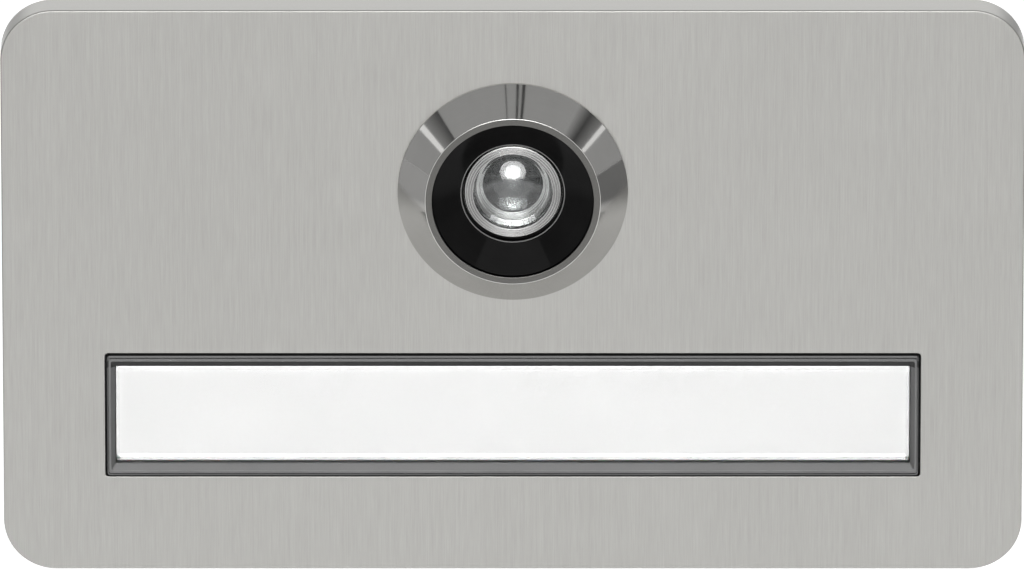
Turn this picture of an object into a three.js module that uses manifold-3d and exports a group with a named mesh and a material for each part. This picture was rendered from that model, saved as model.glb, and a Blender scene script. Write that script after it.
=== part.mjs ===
// Door panel for a flat's entrance door: a solid steel plate with a wide-angle optical door viewer and a
// name field that is the call key. The viewer's tube passes through the door and clamps the panel to it.
// Millimetres. X to the right, Z up, Y into the door. The origin is on the door's outer face.
import * as THREE from 'three';
import { mergeVertices } from 'three/addons/utils/BufferGeometryUtils.js';
import Module from 'manifold-3d';

// ---- Driving dimensions -------------------------------------------------------------------------

// Front plate
const plateWidth = 120;
const plateHeight = 70;
const plateThickness = 4;
const plateCornerRadius = 6.2;
const plateEdgeBreak = 0.15;

// Adhesive foam pad between the plate and the door
const padThickness = 1;
const padInset = 1.5;
const padClearance = 0.5;

// Door viewer: the outer half
const viewerTopMargin = 22.5;
const tubeDiameter = 13.8;
const tubeWall = 1.15;
const tubeClearance = 0.3;
const flangeDiameter = 27;
const flangeEdge = 0.3;
const flangeRise = 3.6;
const rimDiameter = 20.6;
const funnelMouthDiameter = 19;
const funnelDepth = 2.8;
const funnelStep = 0.5;
const funnelWall = 0.45;
const funnelFit = 0.08;
const throatGap = 0.45;
const throatDepth = 1.1;
const sealOffset = 2.4;
const sealWidth = 2;
const sealDepth = 0.7;
const sealFit = 0.1;

// Lens cell in the mouth of the tube
const cellFit = 0.1;
const cellWall = 0.55;
const cellLength = 7.4;
const cellLip = 0.4;
const cellLipWidth = 0.975;
const cellRecess = 0.5;
const lensFit = 0.08;
const lensGap = 0.02;
const frontLensEdge = 1.3;
const frontLensRise = 0.9;
const frontLensBowlMargin = 0.875;
const frontLensBowlDepth = 0.7;
const spacerLength = 1.5;
const spacerSteps = 3;
const spacerMouthWall = 0.55;
const spacerThroatWall = 1.7;
const secondLensEdge = 1.2;
const secondLensRise = 0.9;
const lockRingLength = 1;
const lockRingLip = 0.3;

// Door viewer: the inner half, screwed into the tube from indoors
const thinnestDoor = 26;
const eyepieceTravel = 15;
const washerThickness = 0.8;
const eyepieceFlangeThickness = 2;
const eyepieceWall = 0.8;
const eyepieceClearance = 0.3;
const eyepieceGap = 0.1;
const eyepieceReach = 23;
const threadEngagement = 5.5;
const ocularLedge = 0.35;
const ocularEdge = 0.9;
const ocularRise = 0.55;
const ocularShoulder = 0.5;
const retainerThickness = 0.35;
const retainerWall = 0.8;
const coinSlotWidth = 1.6;
const coinSlotDepth = 0.9;
const coinSlotLength = 3;

// Privacy cover on the eyepiece
const coverThickness = 0.8;
const coverOverlap = 0.7;
const coverNeck = 1.7;
const coverEarDiameter = 4.4;
const coverGap = 0.25;
const coverTabWidth = 3;
const coverTabLength = 1.6;
const pivotDiameter = 1.8;
const pivotHeadDiameter = 3.4;
const pivotHeadThickness = 0.6;
const pivotDepth = 1.2;
const pivotRim = 2.6;
const pivotRunningFit = 0.2;

// Name field, which is the call key
const cutoutBottomMargin = 11.65;
const cutoutWidth = 96;
const cutoutHeight = 15.5;
const cutoutCornerRadius = 0.4;
const keyClearance = 0.25;
const keyProud = 0.3;
const keyTravel = 1;
const bezelWidth = 0.95;
const bezelHeight = 1.4;
const bezelSlope = 0.6;
const bezelSlopeWidth = 0.7;
const windowFit = 0.1;
const windowThickness = 1.2;
const windowChamfer = 0.45;
const labelThickness = 0.3;
const labelMargin = 0.4;
const diffuserThickness = 1.2;
const lipWidth = 1;
const lipThickness = 1.2;
const lipGap = 0.05;
const lightWindowHeight = 8.5;
const carrierMiddle = 7.5;
const carrierEnd = 9;
const actuatorDiameter = 4.4;
const clipWidth = 6;
const clipThickness = 0.8;
const clipBarb = 0.35;
const clipBarbLength = 0.8;
const clipOffset = 20;
const clipFit = 0.15;

// Key housing behind the plate
const housingWall = 1.2;
const housingClearance = 0.3;
const housingDepth = 10.5;
const housingBase = 1.5;
const earThickness = 2;
const earRadius = 2.9;
const studInset = 8;
const studDiameter = 3;
const studLength = 7.4;
const studClearance = 0.2;
const nutAcrossFlats = 5.5;
const nutThickness = 2.4;
const nutCollarDiameter = 5.7;
const nutCollarThickness = 0.5;
const nutFit = 0.08;
const nutWallGap = 0.2;

// Guides and return springs
const guideInset = 4.5;
const guidePinDiameter = 3;
const guidePinLength = 6.6;
const guideFit = 0.25;
const guideBushWall = 1.1;
const guideBushLength = 3;
const springWire = 0.4;
const springMeanDiameter = 4.3;
const springTurns = 5;
const springFacets = 9;
const springEndGap = 0.08;

// Circuit board, switch, lamps and terminals
const boardEndMargin = 13;
const boardEdgeGap = 1.55;
const boardThickness = 1.6;
const boardStandOff = 1.4;
const postDiameter = 4;
const boardScrewInset = 4;
const restPostOffset = 8;
const boardScrewShank = 1.9;
const boardScrewHead = 3.8;
const boardScrewHeadHeight = 1.3;
const boardScrewGrip = 1.1;
const boardScrewFit = 0.12;
const switchSide = 6.2;
const switchHeight = 3.1;
const plungerDiameter = 3.4;
const plungerFit = 0.2;
const plungerProud = 1;
const plungerGrip = 0.8;
const plungerGap = 0.05;
const plungerSeat = 0.1;
const lampLength = 3.5;
const lampHeight = 2.8;
const lampThickness = 0.9;
const resistorOffset = 12;
const resistorLength = 3.2;
const resistorHeight = 1.6;
const resistorThickness = 0.6;
const terminalPitch = 5.08;
const terminalPoles = 2;
const terminalHeight = 8;
const terminalDepth = 8.4;
const terminalFit = 0.6;
const wireEntryWidth = 3.8;
const wireEntryDepth = 4.4;
const wireEntryReach = 6;
const wireEntryRecess = 1.2;
const cageFit = 0.2;
const cageBore = 2.4;
const terminalScrewHead = 3.2;
const terminalScrewShank = 2;
const terminalScrewHeadHeight = 0.9;
const terminalWellDepth = 1.4;
const terminalScrewFit = 0.2;

// Facets round a full turn
const fineTurn = 36;
const coarseTurn = 16;
const cornerFacets = 8;
const cutoutFacets = 3;

// How far a cutter runs past the face that it opens
const overrun = 1;

// ---- Places that follow from the sizes ----------------------------------------------------------

const viewerAxisHeight = plateHeight / 2 - viewerTopMargin;
const keyAxisHeight = cutoutBottomMargin + cutoutHeight / 2 - plateHeight / 2;

const tubeBoreDiameter = tubeDiameter - 2 * tubeWall;
const cellDiameter = tubeBoreDiameter - 2 * cellFit;
const cellBoreDiameter = cellDiameter - 2 * cellWall;
const cellMouthDiameter = cellDiameter - 2 * cellLipWidth;
const funnelThroatDiameter = cellDiameter + 2 * throatGap;
const frontLensBowlDiameter = cellMouthDiameter - 2 * frontLensBowlMargin;
const spacerMouthDiameter = cellBoreDiameter - 2 * spacerMouthWall;
const secondLensWindow = cellBoreDiameter - 2 * spacerThroatWall;
const lockRingBore = secondLensWindow - 2 * lockRingLip;
const sealInnerDiameter = tubeDiameter + 2 * sealOffset;

const plateBack = -padThickness;
const plateFront = plateBack - plateThickness;
const rimFront = plateFront - flangeRise;
const throatFront = rimFront + funnelDepth;
const cellFront = throatFront + cellRecess;

const keyFront = plateFront - keyProud;
const windowFront = keyFront + bezelSlope;
const labelFront = windowFront + windowThickness;
const diffuserFront = labelFront + labelThickness;
const diffuserBack = diffuserFront + diffuserThickness;
const lipFront = plateBack + lipGap;
const lipBack = lipFront + lipThickness;
const bezelOuterWidth = cutoutWidth - 2 * keyClearance;
const bezelOuterHeight = cutoutHeight - 2 * keyClearance;
const bezelInnerWidth = bezelOuterWidth - 2 * bezelWidth;
const bezelInnerHeight = bezelOuterHeight - 2 * bezelHeight;
const lipOuterWidth = cutoutWidth + 2 * lipWidth;
const lipOuterHeight = cutoutHeight + 2 * lipWidth;

const cavityWidth = lipOuterWidth + 2 * housingClearance;
const cavityHeight = lipOuterHeight + 2 * housingClearance;
const housingWidth = cavityWidth + 2 * housingWall;
const housingHeight = cavityHeight + 2 * housingWall;
const housingBack = plateBack + housingDepth;
const housingFloor = housingBack - housingBase;
const earBack = plateBack + earThickness;
const nutCornerRadius = nutAcrossFlats / Math.sqrt(3);
const studHeight = housingHeight / 2 + nutCornerRadius + nutWallGap;
const bushFront = housingFloor - guideBushLength;
const bushRadius = guidePinDiameter / 2 + guideFit + guideBushWall;

const guideOffset = cutoutWidth / 2 - guideInset;
const studOffset = cutoutWidth / 2 - studInset;
const boardLength = cutoutWidth - 2 * boardEndMargin;
const boardHeight = cavityHeight - 2 * boardEdgeGap;
const boardScrewOffset = boardLength / 2 - boardScrewInset;
const lightWindowLength = guideOffset - carrierEnd - carrierMiddle;
const lightWindowOffset = carrierMiddle + lightWindowLength / 2;
const lampOffset = lightWindowOffset;
const terminalOffset = -(restPostOffset + boardScrewOffset) / 2;

const boardBack = housingFloor - boardStandOff;
const boardFront = boardBack - boardThickness;
const switchFront = boardFront - switchHeight;
const plungerFront = switchFront - plungerProud;
const actuatorFace = plungerFront - plungerGap;
const terminalBack = boardBack + terminalDepth;
const terminalLength = terminalPoles * terminalPitch;
const cageBack = terminalBack - terminalWellDepth - terminalScrewHeadHeight;

const washerFront = thinnestDoor;
const washerBack = washerFront + washerThickness;
const eyepieceFront = washerBack + eyepieceGap;
const eyepieceBack = eyepieceFront + eyepieceFlangeThickness;
const eyepieceTip = washerFront - eyepieceReach;
const tubeEnd = eyepieceTip + eyepieceTravel + threadEngagement;
const eyepieceRadius = tubeBoreDiameter / 2 - eyepieceClearance;
const ocularDiameter = 2 * (eyepieceRadius - eyepieceWall + ocularLedge);
const retainerBore = ocularDiameter - 2 * retainerWall;
const coverDiameter = ocularDiameter + 2 * coverOverlap;
const coverPivotHeight = coverDiameter / 2 + coverNeck;
const eyepieceFlangeDiameter = 2 * (coverPivotHeight + pivotRim);
const washerDiameter = eyepieceFlangeDiameter;
const ocularSeat = eyepieceFront + ocularShoulder;
const ocularBack = ocularSeat + lensGap + ocularEdge;
const coverFront = eyepieceBack + coverGap;
const coverBack = coverFront + coverThickness;
const pivotHeadFront = coverBack + eyepieceGap;

// ---- Materials ----------------------------------------------------------------------------------

// A finish as [colour, metalness, roughness, opacity]
const finishes = {
  brushedSteel: ['#b4b3af', 1, 0.38, 1],
  polishedNickel: ['#a9a8a5', 1, 0.12, 1],
  brightNickel: ['#d2d2d0', 1, 0.18, 1],
  blackGloss: ['#0b0b0c', 0, 0.08, 1],
  lensGlass: ['#eef4f6', 0, 0.02, 0.35],
  blackRubber: ['#151515', 0, 0.85, 1],
  blackFoam: ['#1d1d1d', 0, 0.95, 1],
  bezelGrey: ['#6c6c6c', 0.6, 0.4, 1],
  clearAcrylic: ['#ffffff', 0, 0.04, 0.3],
  whitePaper: ['#f4f4f4', 0, 0.7, 1],
  opalPlastic: ['#ededea', 0, 0.5, 1],
  keyPlastic: ['#2a2b2d', 0, 0.55, 1],
  housingPlastic: ['#1b1c1e', 0, 0.6, 1],
  zincSteel: ['#b9bcc0', 1, 0.35, 1],
  copperStud: ['#b27a4f', 1, 0.35, 1],
  springSteel: ['#8f9194', 1, 0.3, 1],
  greenBoard: ['#1d6a3c', 0, 0.45, 1],
  switchBlack: ['#202020', 0, 0.5, 1],
  plungerGrey: ['#5d5f63', 0, 0.5, 1],
  lampWhite: ['#f6f1d8', 0, 0.3, 1],
  resistorCeramic: ['#26282c', 0, 0.4, 1],
  terminalGreen: ['#2f8f4e', 0, 0.5, 1],
  brass: ['#c4a052', 1, 0.3, 1],
};

const panel = new THREE.Group();

function addPiece(name, finish, geometry) {
  const [color, metalness, roughness, opacity] = finishes[finish];
  const material = new THREE.MeshStandardMaterial({ color, metalness, roughness, opacity });
  material.transparent = opacity < 1;
  const mesh = new THREE.Mesh(geometry, material);
  mesh.name = name;
  panel.add(mesh);
  return mesh;
}

// ---- Shape helpers ------------------------------------------------------------------------------

const wasm = await Module();
wasm.setup();

// Position and index only, with shared vertices merged and no collapsed triangles, facing out
function closedMesh(geometry) {
  const bare = geometry.index ? geometry.toNonIndexed() : geometry.clone();
  bare.deleteAttribute('normal');
  bare.deleteAttribute('uv');
  const merged = mergeVertices(bare, 1e-4);
  const source = merged.index.array;
  const kept = [];
  for (let i = 0; i < source.length; i += 3) {
    const [a, b, c] = [source[i], source[i + 1], source[i + 2]];
    if (a !== b && b !== c && c !== a) kept.push(a, b, c);
  }
  if (signedVolume(merged.attributes.position.array, kept) < 0) kept.reverse();
  merged.setIndex(kept);
  return merged;
}

function signedVolume(xyz, index) {
  const corners = [new THREE.Vector3(), new THREE.Vector3(), new THREE.Vector3()];
  let six = 0;
  for (let i = 0; i < index.length; i += 3) {
    corners.forEach((corner, k) => corner.fromArray(xyz, 3 * index[i + k]));
    six += corners[0].dot(corners[1].clone().cross(corners[2]));
  }
  return six / 6;
}

function toSolid(geometry) {
  const { attributes, index } = closedMesh(geometry);
  const vertProperties = attributes.position.array;
  const triVerts = new Uint32Array(index.array);
  return new wasm.Manifold(new wasm.Mesh({ numProp: 3, vertProperties, triVerts }));
}

function toGeometry(solid) {
  const mesh = solid.getMesh();
  const geometry = new THREE.BufferGeometry();
  geometry.setAttribute('position', new THREE.BufferAttribute(mesh.vertProperties, 3));
  geometry.setIndex(new THREE.BufferAttribute(mesh.triVerts, 1));
  geometry.computeVertexNormals();
  return geometry;
}

// A profile of [radius, y] points turned about the Y axis through (x, z)
function turned(profile, x, z, facets = fineTurn) {
  const points = profile.map(([r, y]) => new THREE.Vector2(r, y));
  const lathe = new THREE.LatheGeometry(points, facets);
  lathe.rotateY(Math.PI / facets);
  lathe.translate(x, 0, z);
  return closedMesh(lathe);
}

// A ring's profile, closed on itself
function ringProfile(innerRadius, outerRadius, front, back) {
  const corners = [[outerRadius, front], [outerRadius, back], [innerRadius, back], [innerRadius, front]];
  return [...corners, corners[0]];
}

function discProfile(radius, front, back) {
  return [[0, front], [radius, front], [radius, back], [0, back]];
}

// A shape drawn in X and Z, filled from front to back along Y
function prism(shape, front, back, options = {}) {
  const bevel = options.bevel || 0;
  const geometry = new THREE.ExtrudeGeometry(shape, {
    depth: back - front - 2 * bevel,
    bevelEnabled: bevel > 0,
    bevelThickness: bevel,
    bevelSize: options.bevelWidth || bevel,
    bevelOffset: -(options.bevelWidth || bevel),
    bevelSegments: 1,
    curveSegments: options.curveSegments || cornerFacets,
  });
  geometry.rotateX(Math.PI / 2);
  geometry.translate(0, back - bevel, 0);
  return geometry;
}

function rectangle(width, height, x = 0, z = 0) {
  const shape = new THREE.Shape();
  shape.moveTo(x - width / 2, z - height / 2);
  shape.lineTo(x + width / 2, z - height / 2);
  shape.lineTo(x + width / 2, z + height / 2);
  shape.lineTo(x - width / 2, z + height / 2);
  shape.closePath();
  return shape;
}

function roundedRectangle(width, height, radius, x = 0, z = 0) {
  const [w, h] = [width / 2 - radius, height / 2 - radius];
  const shape = new THREE.Shape();
  shape.absarc(x + w, z - h, radius, -Math.PI / 2, 0, false);
  shape.absarc(x + w, z + h, radius, 0, Math.PI / 2, false);
  shape.absarc(x - w, z + h, radius, Math.PI / 2, Math.PI, false);
  shape.absarc(x - w, z - h, radius, Math.PI, 1.5 * Math.PI, false);
  shape.closePath();
  return shape;
}

function blockSolid(width, height, front, back, x = 0, z = 0) {
  return toSolid(prism(rectangle(width, height, x, z), front, back));
}

function rodSolid(diameter, front, back, x, z, facets = coarseTurn) {
  return toSolid(turned(discProfile(diameter / 2, front, back), x, z, facets));
}

const leftAndRight = [['left', -1], ['right', 1]];

// The four studs: two above the housing and two below it
const studPlaces = [
  [-studOffset, keyAxisHeight + studHeight],
  [studOffset, keyAxisHeight + studHeight],
  [-studOffset, keyAxisHeight - studHeight],
  [studOffset, keyAxisHeight - studHeight],
];

// The housing's outline with its screw ears, grown by a margin
function housingOutline(margin, front, back, earEnd) {
  const grown = [housingWidth + 2 * margin, housingHeight + 2 * margin];
  let outline = blockSolid(...grown, front, back, 0, keyAxisHeight);
  for (const [x, z] of studPlaces) {
    const radius = earRadius + margin;
    const middle = (z + keyAxisHeight) / 2;
    outline = outline
      .add(rodSolid(2 * radius, front, earEnd, x, z))
      .add(blockSolid(2 * radius, Math.abs(z - keyAxisHeight), front, earEnd, x, middle));
  }
  return outline;
}

// ---- Plate and pad ------------------------------------------------------------------------------

function makePlate() {
  const shape = roundedRectangle(plateWidth, plateHeight, plateCornerRadius);
  const body = toSolid(prism(shape, plateFront, plateBack, { bevel: plateEdgeBreak }));
  const cutout = roundedRectangle(cutoutWidth, cutoutHeight, cutoutCornerRadius, 0, keyAxisHeight);
  const ends = [plateFront - overrun, plateBack + overrun];
  const cutter = toSolid(prism(cutout, ...ends, { curveSegments: cutoutFacets }));
  const tubeHole = tubeDiameter + 2 * tubeClearance;
  const drill = rodSolid(tubeHole, ...ends, 0, viewerAxisHeight, fineTurn);
  addPiece('front_plate', 'brushedSteel', toGeometry(body.subtract(cutter).subtract(drill)));
}

function makePad() {
  const width = plateWidth - 2 * padInset;
  const height = plateHeight - 2 * padInset;
  const shape = roundedRectangle(width, height, plateCornerRadius - padInset);
  const tubeHole = tubeDiameter + 2 * padClearance;
  const drill = rodSolid(tubeHole, plateBack - overrun, overrun, 0, viewerAxisHeight, fineTurn);
  const pad = toSolid(prism(shape, plateBack, 0))
    .subtract(housingOutline(padClearance, plateBack - overrun, overrun, overrun))
    .subtract(drill);
  addPiece('door_pad', 'blackFoam', toGeometry(pad));
}

function makeStuds() {
  const end = plateBack + studLength;
  studPlaces.forEach(([x, z], i) => {
    const stud = turned(discProfile(studDiameter / 2, plateBack, end), x, z, coarseTurn);
    addPiece(`weld_stud_${i + 1}`, 'copperStud', stud);
  });
}

function makeNuts() {
  studPlaces.forEach(([x, z], i) => {
    const hexagon = new THREE.CylinderGeometry(nutCornerRadius, nutCornerRadius, nutThickness, 6);
    hexagon.translate(x, earBack + nutThickness / 2, z);
    const collarEnd = earBack + nutCollarThickness;
    const boreDiameter = studDiameter + 2 * nutFit;
    const bore = rodSolid(boreDiameter, earBack - overrun, earBack + nutThickness + overrun, x, z);
    const nut = toSolid(hexagon).add(rodSolid(nutCollarDiameter, earBack, collarEnd, x, z)).subtract(bore);
    addPiece(`stud_nut_${i + 1}`, 'zincSteel', toGeometry(nut));
  });
}

// ---- Door viewer, outer half --------------------------------------------------------------------

const funnelMouthRadius = funnelMouthDiameter / 2;
const funnelThroatRadius = funnelThroatDiameter / 2;
const funnelBackY = throatFront + funnelWall;
const throatFloor = throatFront + throatDepth;
const pocketFront = rimFront + funnelStep + funnelWall;

// The funnel's conical seat in the body, as y at a radius
function funnelSeat(radius) {
  const share = (funnelMouthRadius - radius) / (funnelMouthRadius - funnelThroatRadius);
  return pocketFront + share * (funnelBackY - pocketFront);
}

function makeViewerBody() {
  const tube = tubeDiameter / 2;
  const bore = tubeBoreDiameter / 2;
  const sealInner = sealInnerDiameter / 2;
  const profile = [
    [tube, tubeEnd],
    [tube, plateFront],
    [sealInner, plateFront],
    [sealInner, plateFront - sealDepth],
    [sealInner + sealWidth, plateFront - sealDepth],
    [sealInner + sealWidth, plateFront],
    [flangeDiameter / 2, plateFront],
    [flangeDiameter / 2, plateFront - flangeEdge],
    [rimDiameter / 2, rimFront],
    [funnelMouthRadius, rimFront],
    [funnelMouthRadius, pocketFront],
    [funnelThroatRadius, funnelBackY],
    [funnelThroatRadius, throatFloor],
    [bore, throatFloor],
    [bore, tubeEnd],
  ];
  addPiece('viewer_body', 'polishedNickel', turned([...profile, profile[0]], 0, viewerAxisHeight));
}

function makeViewerSeal() {
  const inner = sealInnerDiameter / 2 + sealFit;
  const outer = inner + sealWidth - 2 * sealFit;
  const front = plateFront - sealDepth + sealFit;
  const profile = ringProfile(inner, outer, front, plateFront);
  addPiece('viewer_seal', 'blackRubber', turned(profile, 0, viewerAxisHeight));
}

// The gloss black insert that widens the view: a thin cone with a small step below the rim
function makeFunnel() {
  const mouth = funnelMouthRadius - funnelFit;
  const throat = funnelThroatRadius + funnelFit;
  const profile = [
    [mouth, rimFront + funnelStep],
    [mouth, funnelSeat(mouth) - funnelFit],
    [throat, funnelSeat(throat) - funnelFit],
    [funnelThroatRadius - funnelFit, funnelBackY - funnelFit],
    [funnelThroatRadius - funnelFit, throatFront],
    [throat, throatFront],
  ];
  addPiece('viewer_funnel', 'blackGloss', turned([...profile, profile[0]], 0, viewerAxisHeight));
}

// Front faces of the pieces stacked in the lens cell, one behind the other
const frontLensSeat = cellFront + cellLip + lensGap;
const spacerFront = frontLensSeat + frontLensEdge + lensGap;
const secondLensSeat = spacerFront + spacerLength + lensGap;
const lockRingFront = secondLensSeat + secondLensEdge + lensGap;
const lensRadius = cellBoreDiameter / 2 - lensFit;

function makeLensCell() {
  const outer = cellDiameter / 2;
  const bore = cellBoreDiameter / 2;
  const mouth = cellMouthDiameter / 2;
  const back = cellFront + cellLength;
  const profile = [
    [outer, cellFront],
    [outer, back],
    [bore, back],
    [bore, cellFront + cellLip],
    [mouth, cellFront + cellLip],
    [mouth, cellFront],
  ];
  addPiece('lens_cell', 'brightNickel', turned([...profile, profile[0]], 0, viewerAxisHeight));
}

// Points of a shallow dome from its edge to the axis, rising by the given height
function domePoints(radius, edgeY, rise, steps = 3) {
  const points = [];
  for (let i = 0; i <= steps; i += 1) {
    const r = radius * (1 - i / steps);
    points.push([r, edgeY + rise * (1 - (r / radius) ** 2)]);
  }
  return points;
}

function makeObjectiveLens() {
  const domeRadius = cellMouthDiameter / 2 - lensFit;
  const back = frontLensSeat + frontLensEdge;
  const bowl = domePoints(frontLensBowlDiameter / 2, back, -frontLensBowlDepth);
  const dome = domePoints(domeRadius, frontLensSeat, -frontLensRise);
  const profile = [...dome.reverse(), [lensRadius, frontLensSeat], [lensRadius, back], ...bowl];
  addPiece('objective_lens', 'lensGlass', turned(profile, 0, viewerAxisHeight));
}

// A bright ring whose bore narrows in steps towards the second lens
function makeLensSpacer() {
  const mouth = spacerMouthDiameter / 2;
  const throat = secondLensWindow / 2;
  const back = spacerFront + spacerLength;
  const profile = [[lensRadius, spacerFront], [lensRadius, back]];
  for (let i = spacerSteps; i > 0; i -= 1) {
    const radius = mouth + ((throat - mouth) * i) / spacerSteps;
    profile.push([radius, spacerFront + (spacerLength * i) / spacerSteps]);
    profile.push([radius, spacerFront + (spacerLength * (i - 1)) / spacerSteps]);
  }
  addPiece('lens_spacer', 'brightNickel', turned([...profile, profile[0]], 0, viewerAxisHeight));
}

function makeSecondLens() {
  const back = secondLensSeat + secondLensEdge;
  const dome = domePoints(secondLensWindow / 2 - lensFit, secondLensSeat, -secondLensRise);
  const profile = [...dome.reverse(), [lensRadius, secondLensSeat], [lensRadius, back], [0, back]];
  addPiece('second_lens', 'lensGlass', turned(profile, 0, viewerAxisHeight));
}

function makeLockRing() {
  const profile = ringProfile(lockRingBore / 2, lensRadius, lockRingFront, lockRingFront + lockRingLength);
  addPiece('lens_lock_ring', 'blackGloss', turned(profile, 0, viewerAxisHeight));
}

// ---- Door viewer, inner half --------------------------------------------------------------------

function makeClampWasher() {
  const inner = eyepieceRadius + eyepieceClearance;
  const profile = ringProfile(inner, washerDiameter / 2, washerFront, washerBack);
  addPiece('clamp_washer', 'polishedNickel', turned(profile, 0, viewerAxisHeight));
}

function makeEyepieceBarrel() {
  const outer = eyepieceRadius;
  const bore = outer - eyepieceWall;
  const flange = eyepieceFlangeDiameter / 2;
  const seat = ocularDiameter / 2;
  const profile = [
    [outer, eyepieceTip],
    [outer, eyepieceFront],
    [flange, eyepieceFront],
    [flange, eyepieceBack],
    [seat, eyepieceBack],
    [seat, ocularSeat],
    [bore, ocularSeat],
    [bore, eyepieceTip],
  ];
  let barrel = toSolid(turned([...profile, profile[0]], 0, viewerAxisHeight));
  const pivotBore = pivotDiameter + 2 * lensFit;
  const pivotZ = viewerAxisHeight + coverPivotHeight;
  const past = eyepieceBack + overrun;
  barrel = barrel.subtract(rodSolid(pivotBore, eyepieceBack - pivotDepth, past, 0, pivotZ));
  for (const [, side] of leftAndRight) {
    const x = side * flange;
    const size = [2 * coinSlotLength, coinSlotWidth];
    barrel = barrel.subtract(blockSolid(...size, eyepieceBack - coinSlotDepth, past, x, viewerAxisHeight));
  }
  addPiece('eyepiece_barrel', 'polishedNickel', toGeometry(barrel));
}

function makeOcular() {
  const radius = ocularDiameter / 2 - lensFit;
  const front = ocularSeat + lensGap;
  const domeRadius = retainerBore / 2 - lensFit;
  const dome = domePoints(domeRadius, ocularBack, ocularRise);
  const profile = [[0, front], [radius, front], [radius, ocularBack], ...dome];
  addPiece('eyepiece_lens', 'lensGlass', turned(profile, 0, viewerAxisHeight));
}

function makeOcularRetainer() {
  const outer = ocularDiameter / 2 - lensFit;
  const front = ocularBack + lensGap;
  const profile = ringProfile(retainerBore / 2, outer, front, front + retainerThickness);
  addPiece('eyepiece_retainer', 'blackGloss', turned(profile, 0, viewerAxisHeight));
}

function makePrivacyCover() {
  const pivotZ = viewerAxisHeight + coverPivotHeight;
  const tabZ = viewerAxisHeight - coverDiameter / 2;
  const hole = pivotDiameter + 2 * pivotRunningFit;
  const neckZ = pivotZ - coverPivotHeight / 2;
  const faces = [coverFront, coverBack];
  const cover = rodSolid(coverDiameter, ...faces, 0, viewerAxisHeight, fineTurn)
    .add(rodSolid(coverEarDiameter, ...faces, 0, pivotZ))
    .add(blockSolid(coverEarDiameter, coverPivotHeight, ...faces, 0, neckZ))
    .add(blockSolid(coverTabWidth, 2 * coverTabLength, ...faces, 0, tabZ))
    .subtract(rodSolid(hole, coverFront - overrun, coverBack + overrun, 0, pivotZ));
  addPiece('privacy_cover', 'polishedNickel', toGeometry(cover));
}

function makeCoverPivot() {
  const shank = pivotDiameter / 2;
  const profile = [
    [0, eyepieceBack - pivotDepth + lensGap],
    [shank, eyepieceBack - pivotDepth + lensGap],
    [shank, pivotHeadFront],
    [pivotHeadDiameter / 2, pivotHeadFront],
    [pivotHeadDiameter / 2, pivotHeadFront + pivotHeadThickness],
    [0, pivotHeadFront + pivotHeadThickness],
  ];
  const pivot = turned(profile, 0, viewerAxisHeight + coverPivotHeight, coarseTurn);
  addPiece('cover_pivot', 'brightNickel', pivot);
}

// ---- Call key -----------------------------------------------------------------------------------

const clipHeight = bezelInnerHeight / 2 + bezelHeight / 2;
const clipPlaces = [];
for (const side of [-1, 1]) {
  for (const up of [-1, 1]) clipPlaces.push([side * clipOffset, up]);
}

// A frame that slopes down to the window, with four clip legs that hook behind the carrier
function makeKeyBezel() {
  const outer = blockSolid(bezelOuterWidth, bezelOuterHeight, keyFront, lipFront, 0, keyAxisHeight);
  const opening = [bezelInnerWidth, bezelInnerHeight];
  const sloped = rectangle(...opening.map((side) => side + 2 * bezelSlopeWidth), 0, keyAxisHeight);
  const slope = { bevel: bezelSlope, bevelWidth: bezelSlopeWidth };
  let bezel = outer
    .subtract(blockSolid(...opening, keyFront - overrun, lipFront + overrun, 0, keyAxisHeight))
    .subtract(toSolid(prism(sloped, keyFront - 2 * bezelSlope, windowFront, slope)));
  const hookFront = lipBack + windowFit;
  for (const [x, up] of clipPlaces) {
    const z = keyAxisHeight + up * clipHeight;
    const hookBack = hookFront + clipBarbLength;
    const leg = blockSolid(clipWidth, clipThickness, lipFront - overrun, hookBack, x, z);
    const hookZ = z + (up * clipBarb) / 2;
    const hook = blockSolid(clipWidth, clipThickness + clipBarb, hookFront, hookBack, x, hookZ);
    bezel = bezel.add(leg).add(hook);
  }
  addPiece('key_bezel', 'bezelGrey', toGeometry(bezel));
}

// The clear cover, chamfered round its front edge
function makeLabelWindow() {
  const width = bezelInnerWidth - 2 * windowFit;
  const height = bezelInnerHeight - 2 * windowFit;
  const front = rectangle(width, height, 0, keyAxisHeight);
  const chamfered = toSolid(prism(front, windowFront, labelFront + windowChamfer, { bevel: windowChamfer }));
  const trimmed = [width + overrun, height + overrun];
  const trim = blockSolid(...trimmed, labelFront, labelFront + overrun, 0, keyAxisHeight);
  addPiece('label_window', 'clearAcrylic', toGeometry(chamfered.subtract(trim)));
}

function makeLabel() {
  const width = bezelInnerWidth - 2 * labelMargin;
  const height = bezelInnerHeight - 2 * labelMargin;
  const shape = rectangle(width, height, 0, keyAxisHeight);
  addPiece('name_label', 'whitePaper', closedMesh(prism(shape, labelFront, diffuserFront)));
}

function makeDiffuser() {
  const width = bezelInnerWidth - 2 * windowFit;
  const height = bezelInnerHeight - 2 * windowFit;
  const shape = rectangle(width, height, 0, keyAxisHeight);
  addPiece('light_diffuser', 'opalPlastic', closedMesh(prism(shape, diffuserFront, diffuserBack)));
}

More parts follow.
